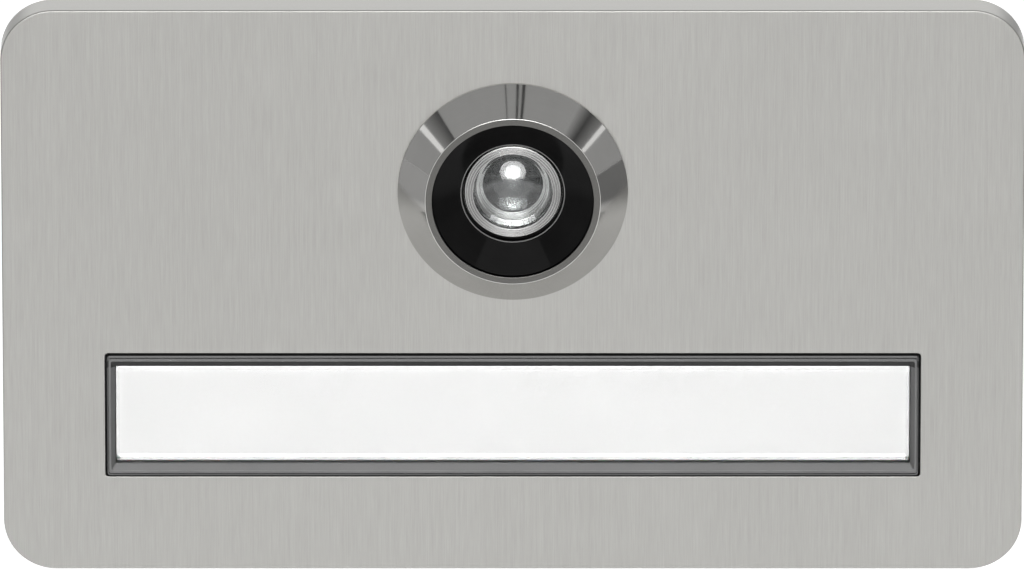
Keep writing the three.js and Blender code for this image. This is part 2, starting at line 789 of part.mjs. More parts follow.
// The carrier holds the stack from behind, is stopped by the plate's back and runs on two guide pins
function makeKeyCarrier() {
  const raised = [bezelInnerWidth - 2 * windowFit, bezelInnerHeight - 2 * windowFit];
  let carrier = blockSolid(lipOuterWidth, lipOuterHeight, lipFront, lipBack, 0, keyAxisHeight)
    .add(blockSolid(...raised, diffuserBack, lipBack, 0, keyAxisHeight))
    .add(rodSolid(actuatorDiameter, lipBack - overrun, actuatorFace, 0, keyAxisHeight));
  for (const [, side] of leftAndRight) {
    const pinX = side * guideOffset;
    const light = [lightWindowLength, lightWindowHeight];
    const lightX = side * lightWindowOffset;
    carrier = carrier
      .add(rodSolid(guidePinDiameter, lipBack - overrun, lipBack + guidePinLength, pinX, keyAxisHeight))
      .subtract(blockSolid(...light, diffuserBack - overrun, lipBack + overrun, lightX, keyAxisHeight));
  }
  for (const [x, up] of clipPlaces) {
    const slotHeight = clipThickness + clipBarb + 2 * clipFit;
    const z = keyAxisHeight + up * (clipHeight + clipBarb / 2);
    const slot = [clipWidth + 2 * clipFit, slotHeight];
    carrier = carrier.subtract(blockSolid(...slot, lipFront - overrun, lipBack + overrun, x, z));
  }
  addPiece('key_carrier', 'keyPlastic', toGeometry(carrier));
}

// A coil from the carrier's back to its guide bush
function makeSprings() {
  const front = lipBack + springEndGap + springWire / 2;
  const back = bushFront - springEndGap - springWire / 2;
  const radius = springMeanDiameter / 2;
  for (const [name, side] of leftAndRight) {
    const points = [];
    const steps = springTurns * springFacets;
    for (let i = 0; i <= steps; i += 1) {
      const turn = (2 * Math.PI * springTurns * i) / steps;
      const x = side * guideOffset + radius * Math.cos(turn);
      const z = keyAxisHeight + radius * Math.sin(turn);
      points.push(new THREE.Vector3(x, front + ((back - front) * i) / steps, z));
    }
    const section = new THREE.Shape().absarc(0, 0, springWire / 2, 0, 2 * Math.PI, false);
    const extrudePath = new THREE.CatmullRomCurve3(points);
    const wire = new THREE.ExtrudeGeometry(section, { steps, extrudePath, curveSegments: 3 });
    addPiece(`return_spring_${name}`, 'springSteel', closedMesh(wire));
  }
}

// ---- Housing ------------------------------------------------------------------------------------

function makeHousing() {
  let housing = housingOutline(0, plateBack, housingBack, earBack).subtract(
    blockSolid(cavityWidth, cavityHeight, plateBack - overrun, housingFloor, 0, keyAxisHeight),
  );
  const rooted = housingFloor + housingBase / 2;
  const past = housingBack + overrun;
  for (const [x, z] of studPlaces) {
    const hole = studDiameter + 2 * studClearance;
    housing = housing.subtract(rodSolid(hole, plateBack - overrun, earBack + overrun, x, z));
  }
  for (const [, side] of leftAndRight) {
    const guideX = side * guideOffset;
    const guideBore = guidePinDiameter + 2 * guideFit;
    const screwX = side * boardScrewOffset;
    const screwBore = boardScrewShank + 2 * boardScrewFit;
    housing = housing
      .add(rodSolid(2 * bushRadius, bushFront, rooted, guideX, keyAxisHeight))
      .subtract(rodSolid(guideBore, bushFront - overrun, past, guideX, keyAxisHeight))
      .add(rodSolid(postDiameter, boardBack, rooted, screwX, keyAxisHeight))
      .subtract(rodSolid(screwBore, boardBack - overrun, housingFloor, screwX, keyAxisHeight))
      .add(rodSolid(postDiameter, boardBack, rooted, side * restPostOffset, keyAxisHeight));
  }
  const window = [terminalLength + 2 * terminalFit, terminalHeight + 2 * terminalFit];
  housing = housing.subtract(
    blockSolid(...window, housingFloor - overrun, past, terminalOffset, keyAxisHeight),
  );
  addPiece('key_housing', 'housingPlastic', toGeometry(housing));
}

// ---- Circuit board and what it carries ----------------------------------------------------------

function makeBoard() {
  let board = blockSolid(boardLength, boardHeight, boardFront, boardBack, 0, keyAxisHeight);
  for (const [, side] of leftAndRight) {
    const hole = boardScrewShank + 2 * boardScrewFit;
    const x = side * boardScrewOffset;
    board = board.subtract(rodSolid(hole, boardFront - overrun, boardBack + overrun, x, keyAxisHeight));
  }
  addPiece('circuit_board', 'greenBoard', toGeometry(board));
}

function makeBoardScrews() {
  const head = boardFront - boardScrewHeadHeight;
  const tip = boardBack + boardScrewGrip;
  const profile = [
    [0, head],
    [boardScrewHead / 2, head],
    [boardScrewHead / 2, boardFront],
    [boardScrewShank / 2, boardFront],
    [boardScrewShank / 2, tip],
    [0, tip],
  ];
  for (const [name, side] of leftAndRight) {
    const screw = turned(profile, side * boardScrewOffset, keyAxisHeight, coarseTurn);
    addPiece(`board_screw_${name}`, 'zincSteel', screw);
  }
}

function makeSwitch() {
  const well = plungerDiameter + 2 * plungerFit;
  const plungerBack = switchFront + plungerGrip;
  const wellFloor = plungerBack + keyTravel + plungerSeat;
  const body = blockSolid(switchSide, switchSide, switchFront, boardFront, 0, keyAxisHeight).subtract(
    rodSolid(well, switchFront - overrun, wellFloor, 0, keyAxisHeight),
  );
  addPiece('switch_body', 'switchBlack', toGeometry(body));
  const plunger = discProfile(plungerDiameter / 2, plungerFront, plungerBack);
  addPiece('switch_plunger', 'plungerGrey', turned(plunger, 0, keyAxisHeight, coarseTurn));
}

function makeLamps() {
  for (const [name, side] of leftAndRight) {
    const shape = rectangle(lampLength, lampHeight, side * lampOffset, keyAxisHeight);
    const lamp = prism(shape, boardFront - lampThickness, boardFront);
    addPiece(`backlight_lamp_${name}`, 'lampWhite', closedMesh(lamp));
  }
  const shape = rectangle(resistorLength, resistorHeight, resistorOffset, keyAxisHeight);
  const resistor = prism(shape, boardFront - resistorThickness, boardFront);
  addPiece('lamp_resistor', 'resistorCeramic', closedMesh(resistor));
}

// Two poles with cage clamps: the wires enter from below and the screws face the back
function makeTerminals() {
  const bottom = keyAxisHeight - terminalHeight / 2;
  const wellFloor = terminalBack - terminalWellDepth;
  const size = [terminalLength, terminalHeight];
  let block = blockSolid(...size, boardBack, terminalBack, terminalOffset, keyAxisHeight);
  for (let pole = 0; pole < terminalPoles; pole += 1) {
    const x = terminalOffset + (pole - (terminalPoles - 1) / 2) * terminalPitch;
    const entryFront = cageBack - wireEntryDepth;
    const entryZ = bottom + wireEntryReach / 2 - overrun / 2;
    const entry = [wireEntryWidth, wireEntryReach + overrun];
    const shankBore = terminalScrewShank + 2 * terminalScrewFit;
    const headBore = terminalScrewHead + 2 * terminalScrewFit;
    block = block
      .subtract(blockSolid(...entry, entryFront, cageBack, x, entryZ))
      .subtract(rodSolid(headBore, wellFloor, terminalBack + overrun, x, keyAxisHeight))
      .subtract(rodSolid(shankBore, cageBack - overrun, wellFloor + overrun, x, keyAxisHeight));

    const cageFront = entryFront + cageFit;
    const cageEnd = cageBack - cageFit;
    const cageHeight = wireEntryReach - wireEntryRecess - cageFit;
    const cageZ = bottom + wireEntryRecess + cageHeight / 2;
    const cageMiddle = (cageFront + cageEnd) / 2;
    const cageSize = [wireEntryWidth - 2 * cageFit, cageHeight];
    const wireHole = [cageBore, cageHeight + overrun];
    const wireHoleFront = cageMiddle - cageBore / 2;
    const cage = blockSolid(...cageSize, cageFront, cageEnd, x, cageZ).subtract(
      blockSolid(...wireHole, wireHoleFront, wireHoleFront + cageBore, x, cageZ),
    );
    addPiece(`terminal_cage_${pole + 1}`, 'brass', toGeometry(cage));

    const screw = [
      [0, cageEnd],
      [terminalScrewShank / 2, cageEnd],
      [terminalScrewShank / 2, wellFloor],
      [terminalScrewHead / 2, wellFloor],
      [terminalScrewHead / 2, wellFloor + terminalScrewHeadHeight],
      [0, wellFloor + terminalScrewHeadHeight],
    ];
    addPiece(`terminal_screw_${pole + 1}`, 'zincSteel', turned(screw, x, keyAxisHeight, coarseTurn));
  }
  addPiece('terminal_block', 'terminalGreen', toGeometry(block));
}

makePlate();
makePad();
makeStuds();
makeNuts();
makeViewerBody();
makeViewerSeal();
makeFunnel();
makeLensCell();
makeObjectiveLens();
makeLensSpacer();
makeSecondLens();
makeLockRing();
makeClampWasher();
makeEyepieceBarrel();
makeOcular();
makeOcularRetainer();
makePrivacyCover();
makeCoverPivot();
makeKeyBezel();
makeLabelWindow();
makeLabel();
makeDiffuser();
makeKeyCarrier();
makeSprings();
makeHousing();
makeBoard();
makeBoardScrews();
makeSwitch();
makeLamps();
makeTerminals();

export default panel;
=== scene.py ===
import math

import bmesh
import bpy
from mathutils import Matrix, Vector


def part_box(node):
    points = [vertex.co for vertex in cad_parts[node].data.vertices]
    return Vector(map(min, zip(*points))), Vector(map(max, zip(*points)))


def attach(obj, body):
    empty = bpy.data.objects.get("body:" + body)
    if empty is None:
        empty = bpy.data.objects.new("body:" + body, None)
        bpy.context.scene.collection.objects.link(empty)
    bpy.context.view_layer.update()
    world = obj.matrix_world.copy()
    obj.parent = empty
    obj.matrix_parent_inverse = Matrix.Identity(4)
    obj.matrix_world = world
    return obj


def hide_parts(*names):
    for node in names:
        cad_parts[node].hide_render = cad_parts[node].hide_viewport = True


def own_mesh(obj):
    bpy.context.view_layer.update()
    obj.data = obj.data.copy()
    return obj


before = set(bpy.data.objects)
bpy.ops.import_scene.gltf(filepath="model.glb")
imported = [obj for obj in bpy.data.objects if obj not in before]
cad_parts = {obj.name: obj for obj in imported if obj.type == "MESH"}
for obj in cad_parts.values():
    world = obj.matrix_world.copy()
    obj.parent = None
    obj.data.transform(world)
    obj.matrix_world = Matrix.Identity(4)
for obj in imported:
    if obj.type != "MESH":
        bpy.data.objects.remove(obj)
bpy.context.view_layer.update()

mm = 0.001
fullTurn = 2 * math.pi


# The three axes everything is set out from
def middleOf(node):
    low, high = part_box(node)
    return (low + high) / 2


viewerZ = middleOf("objective_lens").z
keyZ = middleOf("name_label").z
pivotZ = middleOf("cover_pivot").z


# Node helpers, for materials and geometry alike

def place(tree, kind, inputs=None, **settings):
    made = tree.nodes.new(kind)
    for key, value in settings.items():
        setattr(made, key, value)
    for key, value in (inputs or {}).items():
        if isinstance(value, bpy.types.NodeSocket):
            tree.links.new(value, made.inputs[key])
        else:
            made.inputs[key].default_value = value
    return made


def math2(tree, operation, first, second=0.0):
    return place(tree, "ShaderNodeMath", {0: first, 1: second}, operation=operation).outputs[0]


def mapRange(tree, value, fromMin, fromMax, toMin, toMax, kind="LINEAR"):
    sizes = {"Value": value, "From Min": fromMin, "From Max": fromMax, "To Min": toMin, "To Max": toMax}
    return place(tree, "ShaderNodeMapRange", sizes, interpolation_type=kind).outputs["Result"]


# Materials

def startMaterial(name):
    material = bpy.data.materials.new(name)
    material.use_nodes = True
    tree = material.node_tree
    return material, tree, tree.nodes["Principled BSDF"]


def noiseOn(tree, scale, stretch=(1, 1, 1), detail=3.0, centre=(0, 0, 0)):
    coords = place(tree, "ShaderNodeTexCoord").outputs["Object"]
    mapped = place(tree, "ShaderNodeMapping", {"Vector": coords, "Location": centre, "Scale": stretch})
    inputs = {"Vector": mapped.outputs[0], "Scale": scale, "Detail": detail, "Roughness": 0.6}
    return place(tree, "ShaderNodeTexNoise", inputs).outputs["Fac"]


# Blends two values or sockets. The mix node has its own pair of inputs for each kind.
def mixSockets(tree, factor, first, second, kind="RGBA"):
    mixed = tree.nodes.new("ShaderNodeMix")
    mixed.data_type = kind
    ends = (2, 3) if kind == "FLOAT" else (6, 7)
    tree.links.new(factor, mixed.inputs[0])
    for index, value in zip(ends, (first, second)):
        if isinstance(value, bpy.types.NodeSocket):
            tree.links.new(value, mixed.inputs[index])
        else:
            mixed.inputs[index].default_value = value
    return mixed.outputs[0 if kind == "FLOAT" else 2]


def blendColours(tree, factor, first, second):
    return mixSockets(tree, factor, (*first, 1), (*second, 1))


def bumpFrom(tree, shader, height, distance, strength=1.0):
    bump = place(tree, "ShaderNodeBump", {"Height": height, "Distance": distance, "Strength": strength})
    tree.links.new(bump.outputs[0], shader.inputs["Normal"])


# A finish made of slow patches, fine grain and a little surface relief
def makeFinish(name, look):
    material, tree, shader = startMaterial(name)
    patches = noiseOn(tree, look.get("patchScale", 160.0), look.get("stretch", (1, 1, 1)), 4.0)
    grain = noiseOn(tree, look.get("grainScale", 3500.0), look.get("stretch", (1, 1, 1)), 3.0)
    mixed = math2(tree, "MULTIPLY_ADD", grain, look.get("grainShare", 0.4))
    tree.links.new(patches, mixed.node.inputs[2])
    shade = mapRange(tree, mixed, 0.35, 1.05, 0.0, 1.0)
    tree.links.new(blendColours(tree, shade, look["dark"], look["light"]), shader.inputs["Base Color"])
    smooth, rough = look["roughness"]
    tree.links.new(mapRange(tree, mixed, 0.35, 1.05, smooth, rough), shader.inputs["Roughness"])
    shader.inputs["Metallic"].default_value = look.get("metal", 0.0)
    shader.inputs["IOR"].default_value = look.get("ior", 1.5)
    shader.inputs["Specular IOR Level"].default_value = look.get("specular", 0.5)
    shader.inputs["Transmission Weight"].default_value = look.get("clear", 0.0)
    shader.inputs["Coat Weight"].default_value = look.get("coat", 0.0)
    shader.inputs["Sheen Weight"].default_value = look.get("sheen", 0.0)
    shader.inputs["Subsurface Weight"].default_value = look.get("milky", 0.0)
    shader.inputs["Subsurface Scale"].default_value = 0.4 * mm
    shader.inputs["Emission Color"].default_value = (1, 1, 0.99, 1)
    shader.inputs["Emission Strength"].default_value = look.get("glow", 0.0)
    if look.get("relief", 0.004):
        bumpFrom(tree, shader, grain, look.get("relief", 0.004) * mm)
    return material


# Straight brushing up and down, as fine lines with a few longer ones among them
def brushedMetal(name, look):
    material, tree, shader = startMaterial(name)
    fine = noiseOn(tree, 7000.0, (1, 1, 0.03), 3.0)
    long = noiseOn(tree, 2600.0, (1, 1, 0.008), 2.0, (0.3, 0.1, 0.2))
    clouds = noiseOn(tree, 22.0, (1, 1, 0.7), 2.0)
    lines = math2(tree, "MULTIPLY_ADD", long, 0.45)
    tree.links.new(fine, lines.node.inputs[2])
    tone = math2(tree, "MULTIPLY_ADD", clouds, 0.35)
    tree.links.new(lines, tone.node.inputs[2])
    shade = mapRange(tree, tone, 0.6, 1.35, 0.0, 1.0)
    tree.links.new(blendColours(tree, shade, look["dark"], look["light"]), shader.inputs["Base Color"])
    smooth, rough = look["roughness"]
    tree.links.new(mapRange(tree, lines, 0.5, 1.1, smooth, rough), shader.inputs["Roughness"])
    shader.inputs["Metallic"].default_value = 1.0
    shader.inputs["Anisotropic"].default_value = look["anisotropy"]
    upright = place(tree, "ShaderNodeCombineXYZ", {"X": 1.0})
    tree.links.new(upright.outputs[0], shader.inputs["Tangent"])
    bumpFrom(tree, shader, lines, look["relief"] * mm)
    return material


# 1 where the value lies between two sizes in millimetres, else 0
def between(tree, value, low, high):
    above = math2(tree, "GREATER_THAN", value, low * mm)
    below = math2(tree, "LESS_THAN", value, high * mm)
    return math2(tree, "MULTIPLY", above, below)


# A face turned on a lathe: rings round an axis along Y, with bands of another colour: other finishes, and on
# the funnel's lip a painted highlight
def turnedMetal(name, look, axisZ):
    material, tree, shader = startMaterial(name)
    coords = place(tree, "ShaderNodeTexCoord").outputs["Object"]
    centred = {"Vector": coords, "Location": (0, 0, -axisZ), "Scale": (1, 0, 1)}
    flat = place(tree, "ShaderNodeMapping", centred)
    reach = place(tree, "ShaderNodeVectorMath", {0: flat.outputs[0]}, operation="LENGTH").outputs["Value"]
    along = place(tree, "ShaderNodeSeparateXYZ", {"Vector": coords}).outputs["Y"]
    path = math2(tree, "ADD", reach, along)
    rings = place(tree, "ShaderNodeTexNoise", {"W": path, "Scale": look["ringScale"], "Detail": 4.0},
                  noise_dimensions="1D").outputs["Fac"]
    patches = noiseOn(tree, 240.0, (1, 1, 1), 3.0)
    mixed = math2(tree, "MULTIPLY_ADD", rings, 0.6)
    tree.links.new(patches, mixed.node.inputs[2])
    shade = mapRange(tree, mixed, 0.45, 1.15, 0.0, 1.0)
    colour = blendColours(tree, shade, look["dark"], look["light"])
    smooth, rough = look["roughness"]
    roughness = mapRange(tree, mixed, 0.45, 1.15, smooth, rough)
    for near, far, front, back, bandColour, bandRoughness in look.get("bands", []):
        inside = math2(tree, "MULTIPLY", between(tree, reach, near, far), between(tree, along, front, back))
        colour = mixSockets(tree, inside, colour, (*bandColour, 1))
        lift = math2(tree, "MULTIPLY", rings, 0.1)
        target = math2(tree, "ADD", lift, bandRoughness)
        roughness = mixSockets(tree, inside, roughness, target, "FLOAT")
    tree.links.new(colour, shader.inputs["Base Color"])
    tree.links.new(roughness, shader.inputs["Roughness"])
    shader.inputs["Metallic"].default_value = look.get("metal", 1.0)
    shader.inputs["Specular IOR Level"].default_value = look.get("specular", 0.5)
    bumpFrom(tree, shader, rings, look["relief"] * mm)
    return material


steelLook = {"dark": (0.345, 0.341, 0.326), "light": (0.43, 0.426, 0.41), "roughness": (0.3, 0.4),
             "anisotropy": 0.55, "relief": 0.0016}
# A band is (near, far, front, back, colour, roughness). These are the satin rim, the blackened pocket
# behind it and the plain tube.
nickelLook = {"dark": (0.52, 0.515, 0.5), "light": (0.58, 0.575, 0.56), "roughness": (0.05, 0.1),
              "ringScale": 9000.0, "relief": 0.0002,
              "bands": [(9.4, 10.24, -8.62, -8.5, (0.115, 0.113, 0.108), 0.2),
                        (5.8, 9.52, -8.45, -4.6, (0.012, 0.012, 0.012), 0.5),
                        (6.5, 7.2, -4.6, 24.0, (0.5, 0.495, 0.48), 0.42)]}
brightLook = {"dark": (0.27, 0.27, 0.266), "light": (0.38, 0.38, 0.375), "roughness": (0.18, 0.3),
              "ringScale": 12000.0, "relief": 0.0012}
spacerLook = {"dark": (0.3, 0.3, 0.295), "light": (0.5, 0.5, 0.49), "roughness": (0.12, 0.22),
              "ringScale": 12000.0, "relief": 0.001,
              "bands": [(3.95, 4.56, -4.0, -2.0, (0.1, 0.1, 0.098), 0.2)]}
# Gloss black, with a painted highlight: its thin lip is painted a lighter grey
funnelLook = {"dark": (0.004, 0.004, 0.004), "light": (0.007, 0.007, 0.007), "roughness": (0.05, 0.1),
              "ringScale": 4000.0, "relief": 0.0002, "metal": 0.0, "specular": 0.042,
              "bands": [(6.0, 6.13, -5.9, -5.7, (0.15, 0.15, 0.148), 0.25)]}

plateSteel = brushedMetal("brushedSteel", steelLook)
viewerNickel = turnedMetal("polishedNickel", nickelLook, viewerZ)
brightNickel = turnedMetal("satinNickel", brightLook, viewerZ)
spacerNickel = turnedMetal("steppedNickel", spacerLook, viewerZ)
funnelBlack = turnedMetal("funnelBlack", funnelLook, viewerZ)

finishes = {
    "glossBlack": {"dark": (0.004, 0.004, 0.004), "light": (0.007, 0.007, 0.007), "roughness": (0.05, 0.11),
                   "specular": 0.13, "grainScale": 2500.0, "relief": 0.0008},
    "lensGlass": {"dark": (0.93, 0.95, 0.95), "light": (0.98, 0.99, 0.99), "roughness": (0.0, 0.012),
                  "clear": 1.0, "ior": 1.52, "relief": 0.0},
    "coatedGlass": {"dark": (0.9, 0.92, 0.92), "light": (0.97, 0.98, 0.98), "roughness": (0.05, 0.1),
                    "clear": 1.0, "ior": 1.52, "patchScale": 700.0, "relief": 0.0},
    "rubber": {"dark": (0.008, 0.008, 0.008), "light": (0.018, 0.018, 0.018), "roughness": (0.65, 0.9),
               "relief": 0.02, "sheen": 0.1},
    "foam": {"dark": (0.012, 0.012, 0.013), "light": (0.03, 0.03, 0.032), "roughness": (0.85, 1.0),
             "grainScale": 2600.0, "grainShare": 0.9, "relief": 0.12, "sheen": 0.15},
    "bezelGrey": {"dark": (0.11, 0.11, 0.11), "light": (0.145, 0.145, 0.145), "roughness": (0.3, 0.42),
                  "metal": 0.75, "grainScale": 6000.0, "relief": 0.003},
    "clearAcrylic": {"dark": (0.985, 0.985, 0.985), "light": (1.0, 1.0, 1.0), "roughness": (0.01, 0.035),
                     "clear": 1.0, "ior": 1.49, "relief": 0.0},
    # The paper's glow is painted light, lifting the label as if it were lit from behind
    "paper": {"dark": (0.9, 0.9, 0.895), "light": (0.96, 0.96, 0.955), "roughness": (0.7, 0.85),
              "patchScale": 60.0, "grainScale": 9000.0, "relief": 0.008, "glow": 0.08},
    "opal": {"dark": (0.84, 0.84, 0.82), "light": (0.9, 0.9, 0.88), "roughness": (0.35, 0.5), "milky": 0.3},
    "keyPlastic": {"dark": (0.02, 0.021, 0.023), "light": (0.034, 0.035, 0.038), "roughness": (0.45, 0.6),
                   "relief": 0.01},
    "housingPlastic": {"dark": (0.011, 0.012, 0.013), "light": (0.022, 0.023, 0.025),
                       "roughness": (0.5, 0.68), "grainScale": 4200.0, "relief": 0.018},
    "zincSteel": {"dark": (0.42, 0.44, 0.46), "light": (0.6, 0.61, 0.62), "roughness": (0.25, 0.45),
                  "metal": 1.0, "patchScale": 500.0, "relief": 0.004},
    "copperStud": {"dark": (0.5, 0.22, 0.11), "light": (0.68, 0.33, 0.18), "roughness": (0.25, 0.45),
                   "metal": 1.0, "patchScale": 600.0, "relief": 0.003},
    "springSteel": {"dark": (0.3, 0.3, 0.31), "light": (0.46, 0.46, 0.47), "roughness": (0.2, 0.35),
                    "metal": 1.0, "patchScale": 900.0, "relief": 0.002},
    "boardGreen": {"dark": (0.008, 0.09, 0.03), "light": (0.02, 0.15, 0.055), "roughness": (0.3, 0.42),
                   "coat": 0.3, "patchScale": 300.0, "relief": 0.003},
    "solder": {"dark": (0.5, 0.5, 0.5), "light": (0.72, 0.72, 0.72), "roughness": (0.2, 0.4), "metal": 1.0,
               "patchScale": 1200.0, "relief": 0.01},
    "switchBlack": {"dark": (0.012, 0.012, 0.012), "light": (0.024, 0.024, 0.024), "roughness": (0.4, 0.55),
                    "relief": 0.008},
    "plungerGrey": {"dark": (0.09, 0.095, 0.1), "light": (0.13, 0.135, 0.14), "roughness": (0.4, 0.55),
                    "relief": 0.006},
    "lampCream": {"dark": (0.86, 0.8, 0.6), "light": (0.93, 0.88, 0.7), "roughness": (0.2, 0.35),
                  "coat": 0.4, "milky": 0.2},
    "ceramic": {"dark": (0.014, 0.015, 0.018), "light": (0.026, 0.027, 0.03), "roughness": (0.3, 0.5),
                "relief": 0.006},
    "terminalGreen": {"dark": (0.02, 0.22, 0.07), "light": (0.035, 0.3, 0.1), "roughness": (0.4, 0.55),
                      "relief": 0.01},
    "brass": {"dark": (0.5, 0.34, 0.11), "light": (0.68, 0.48, 0.18), "roughness": (0.22, 0.4),
              "metal": 1.0, "patchScale": 700.0, "relief": 0.004},
}
paints = {name: makeFinish(name, look) for name, look in finishes.items()}
print("materials made:", len(bpy.data.materials))


# Mesh helpers; outlines are drawn in X and Z, and depth runs along Y

def circle(radius, x=0.0, z=0.0, count=64):
    return [(x + radius * math.cos(fullTurn * i / count), z + radius * math.sin(fullTurn * i / count))
            for i in range(count)]


# A rectangle with round corners, going round from its lower right
def roundedBox(width, height, radius, x=0.0, z=0.0, steps=8):
    points = []
    for corner, (sx, sz) in enumerate([(1, -1), (1, 1), (-1, 1), (-1, -1)]):
        centre = (x + sx * (width / 2 - radius), z + sz * (height / 2 - radius))
        for i in range(steps + 1):
            angle = -math.pi / 2 + (corner + i / steps) * math.pi / 2
            points.append((centre[0] + radius * math.cos(angle), centre[1] + radius * math.sin(angle)))
    return points


# (inset, depth) pairs of a wall whose two ends are rounded off by front and back
def roundedWall(start, end, front=0.0, back=0.0, steps=4):
    way = 1 if end > start else -1
    pairs = []
    if front:
        for i in range(steps + 1):
            angle = i / steps * math.pi / 2
            pairs.append((front * (1 - math.sin(angle)), start + way * front * (1 - math.cos(angle))))
    else:
        pairs.append((0.0, start))
    if back:
        for i in range(steps + 1):
            angle = i / steps * math.pi / 2
            pairs.append((back * (1 - math.cos(angle)), end - way * back * (1 - math.sin(angle))))
    else:
        pairs.append((0.0, end))
    return pairs


def boxRings(width, height, radius, pairs, x=0.0, z=0.0, steps=6):
    rings = []
    for inset, depth in pairs:
        corner = max(radius - inset, 0.01)
        rings.append((roundedBox(width - 2 * inset, height - 2 * inset, corner, x, z, steps), depth))
    return rings


def circleRings(radius, pairs, x=0.0, z=0.0, count=48):
    return [(circle(radius - inset, x, z, count), depth) for inset, depth in pairs]


def linkNew(name, mesh):
    made = bpy.data.objects.new(name, mesh)
    bpy.context.scene.collection.objects.link(made)
    return made


def toObject(name, bm):
    bmesh.ops.recalc_face_normals(bm, faces=bm.faces[:])
    mesh = bpy.data.meshes.new(name)
    bm.to_mesh(mesh)
    bm.free()
    return linkNew(name, mesh)


# Walls are (rings, first cap, last cap). Rings that name the same cap share one flat face.
def slab(name, walls, along="Y"):
    bm = bmesh.new()
    caps = {}
    for rings, firstCap, lastCap in walls:
        loops = []
        for points, depth in rings:
            corners = [(a * mm, depth * mm, b * mm) if along == "Y" else (a * mm, b * mm, depth * mm)
                       for a, b in points]
            loops.append([bm.verts.new(corner) for corner in corners])
        count = len(loops[0])
        for before, after in zip(loops, loops[1:]):
            for i in range(count):
                j = (i + 1) % count
                bm.faces.new((before[i], before[j], after[j], after[i]))
        for cap, loop in ((firstCap, loops[0]), (lastCap, loops[-1])):
            edges = caps.setdefault(cap, [])
            edges += [bm.edges.get((loop[i], loop[(i + 1) % count])) for i in range(count)]
    for edges in caps.values():
        bmesh.ops.triangle_fill(bm, use_beauty=True, use_dissolve=False, edges=edges)
    return toObject(name, bm)


# Rounds the corners of a turned profile. A corner is (radius, depth) or (radius, depth, rounding).
def roundedProfile(corners, closed, steps=4):
    points = []
    last = len(corners)
    for i, corner in enumerate(corners):
        here = Vector(corner[:2])
        rounding = corner[2] if len(corner) > 2 else 0.0
        if not rounding or (not closed and i in (0, last - 1)):
            points.append(here)
            continue
        before = Vector(corners[i - 1][:2]) - here
        after = Vector(corners[(i + 1) % last][:2]) - here
        half = before.angle(after) / 2
        reach = min(rounding / math.tan(half), 0.48 * before.length, 0.48 * after.length)
        start = here + before.normalized() * reach
        end = here + after.normalized() * reach
        for k in range(steps + 1):
            t = k / steps
            points.append((1 - t) ** 2 * start + 2 * t * (1 - t) * here + t ** 2 * end)
    return points


def turned(name, corners, z, x=0.0, closed=True, facets=128, steps=4):
    bm = bmesh.new()
    points = roundedProfile(corners, closed, steps)
    loops = []
    for radius, depth in points:
        if radius < 1e-6:
            loops.append([bm.verts.new((x * mm, depth * mm, z))])
            continue
        loop = []
        for i in range(facets):
            angle = fullTurn * i / facets
            corner = ((x + radius * math.cos(angle)) * mm, depth * mm, z + radius * math.sin(angle) * mm)
            loop.append(bm.verts.new(corner))
        loops.append(loop)
    pairs = list(zip(loops, loops[1:])) + ([(loops[-1], loops[0])] if closed else [])
    for before, after in pairs:
        if len(before) == len(after) == 1:
            continue
        for i in range(facets):
            j = (i + 1) % facets
            if len(before) == 1:
                bm.faces.new((before[0], after[j], after[i]))
            elif len(after) == 1:
                bm.faces.new((before[i], before[j], after[0]))
            else:
                bm.faces.new((before[i], before[j], after[j], after[i]))
    return toObject(name, bm)


# Corners of a lens face, from its edge in to the axis or from the axis out
def dome(radius, edge, rise, steps=20, inward=True):
    points = []
    for i in range(steps + 1):
        r = radius * (1 - i / steps)
        points.append((r, edge + rise * (1 - (r / radius) ** 2)))
    return points if inward else points[::-1]


def applyModifiers(piece):
    graph = bpy.context.evaluated_depsgraph_get()
    mesh = bpy.data.meshes.new_from_object(piece.evaluated_get(graph))
    piece.modifiers.clear()
    piece.data = mesh
    return piece


def combine(piece, tool, operation="DIFFERENCE"):
    step = piece.modifiers.new("combine", "BOOLEAN")
    step.operation = operation
    step.solver = "EXACT"
    step.object = tool
    applyModifiers(piece)
    bpy.data.objects.remove(tool)
    return piece


# Adds another object's mesh to a piece and removes that object
def join(piece, other):
    bm = bmesh.new()
    bm.from_mesh(piece.data)
    bm.from_mesh(other.data)
    bm.to_mesh(piece.data)
    bm.free()
    bpy.data.objects.remove(other)
    return piece


# Smooth faces, with a crease at each real edge and where a flat meets its rounding
def shadeEdges(mesh):
    bm = bmesh.new()
    bm.from_mesh(mesh)
    for face in bm.faces:
        face.smooth = True
    for edge in bm.edges:
        if len(edge.link_faces) != 2:
            edge.smooth = False
            continue
        angle = edge.calc_face_angle(0.0)
        first, second = edge.link_faces
        flat = (abs(first.normal.y) > 0.99995) != (abs(second.normal.y) > 0.99995)
        areas = sorted((first.calc_area(), second.calc_area()))
        uneven = areas[1] > 6 * areas[0]
        edge.smooth = not (angle > math.radians(30) or (angle > math.radians(2.5) and (flat or uneven)))
    bm.to_mesh(mesh)
    bm.free()


def finishPiece(piece, material, body, slotName, *nodes):
    shadeEdges(piece.data)
    piece.data.materials.clear()
    piece.data.materials.append(material)
    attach(piece, body)
    if nodes:
        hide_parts(*nodes)
    return piece


# Geometry node trees for what repeats or follows a path

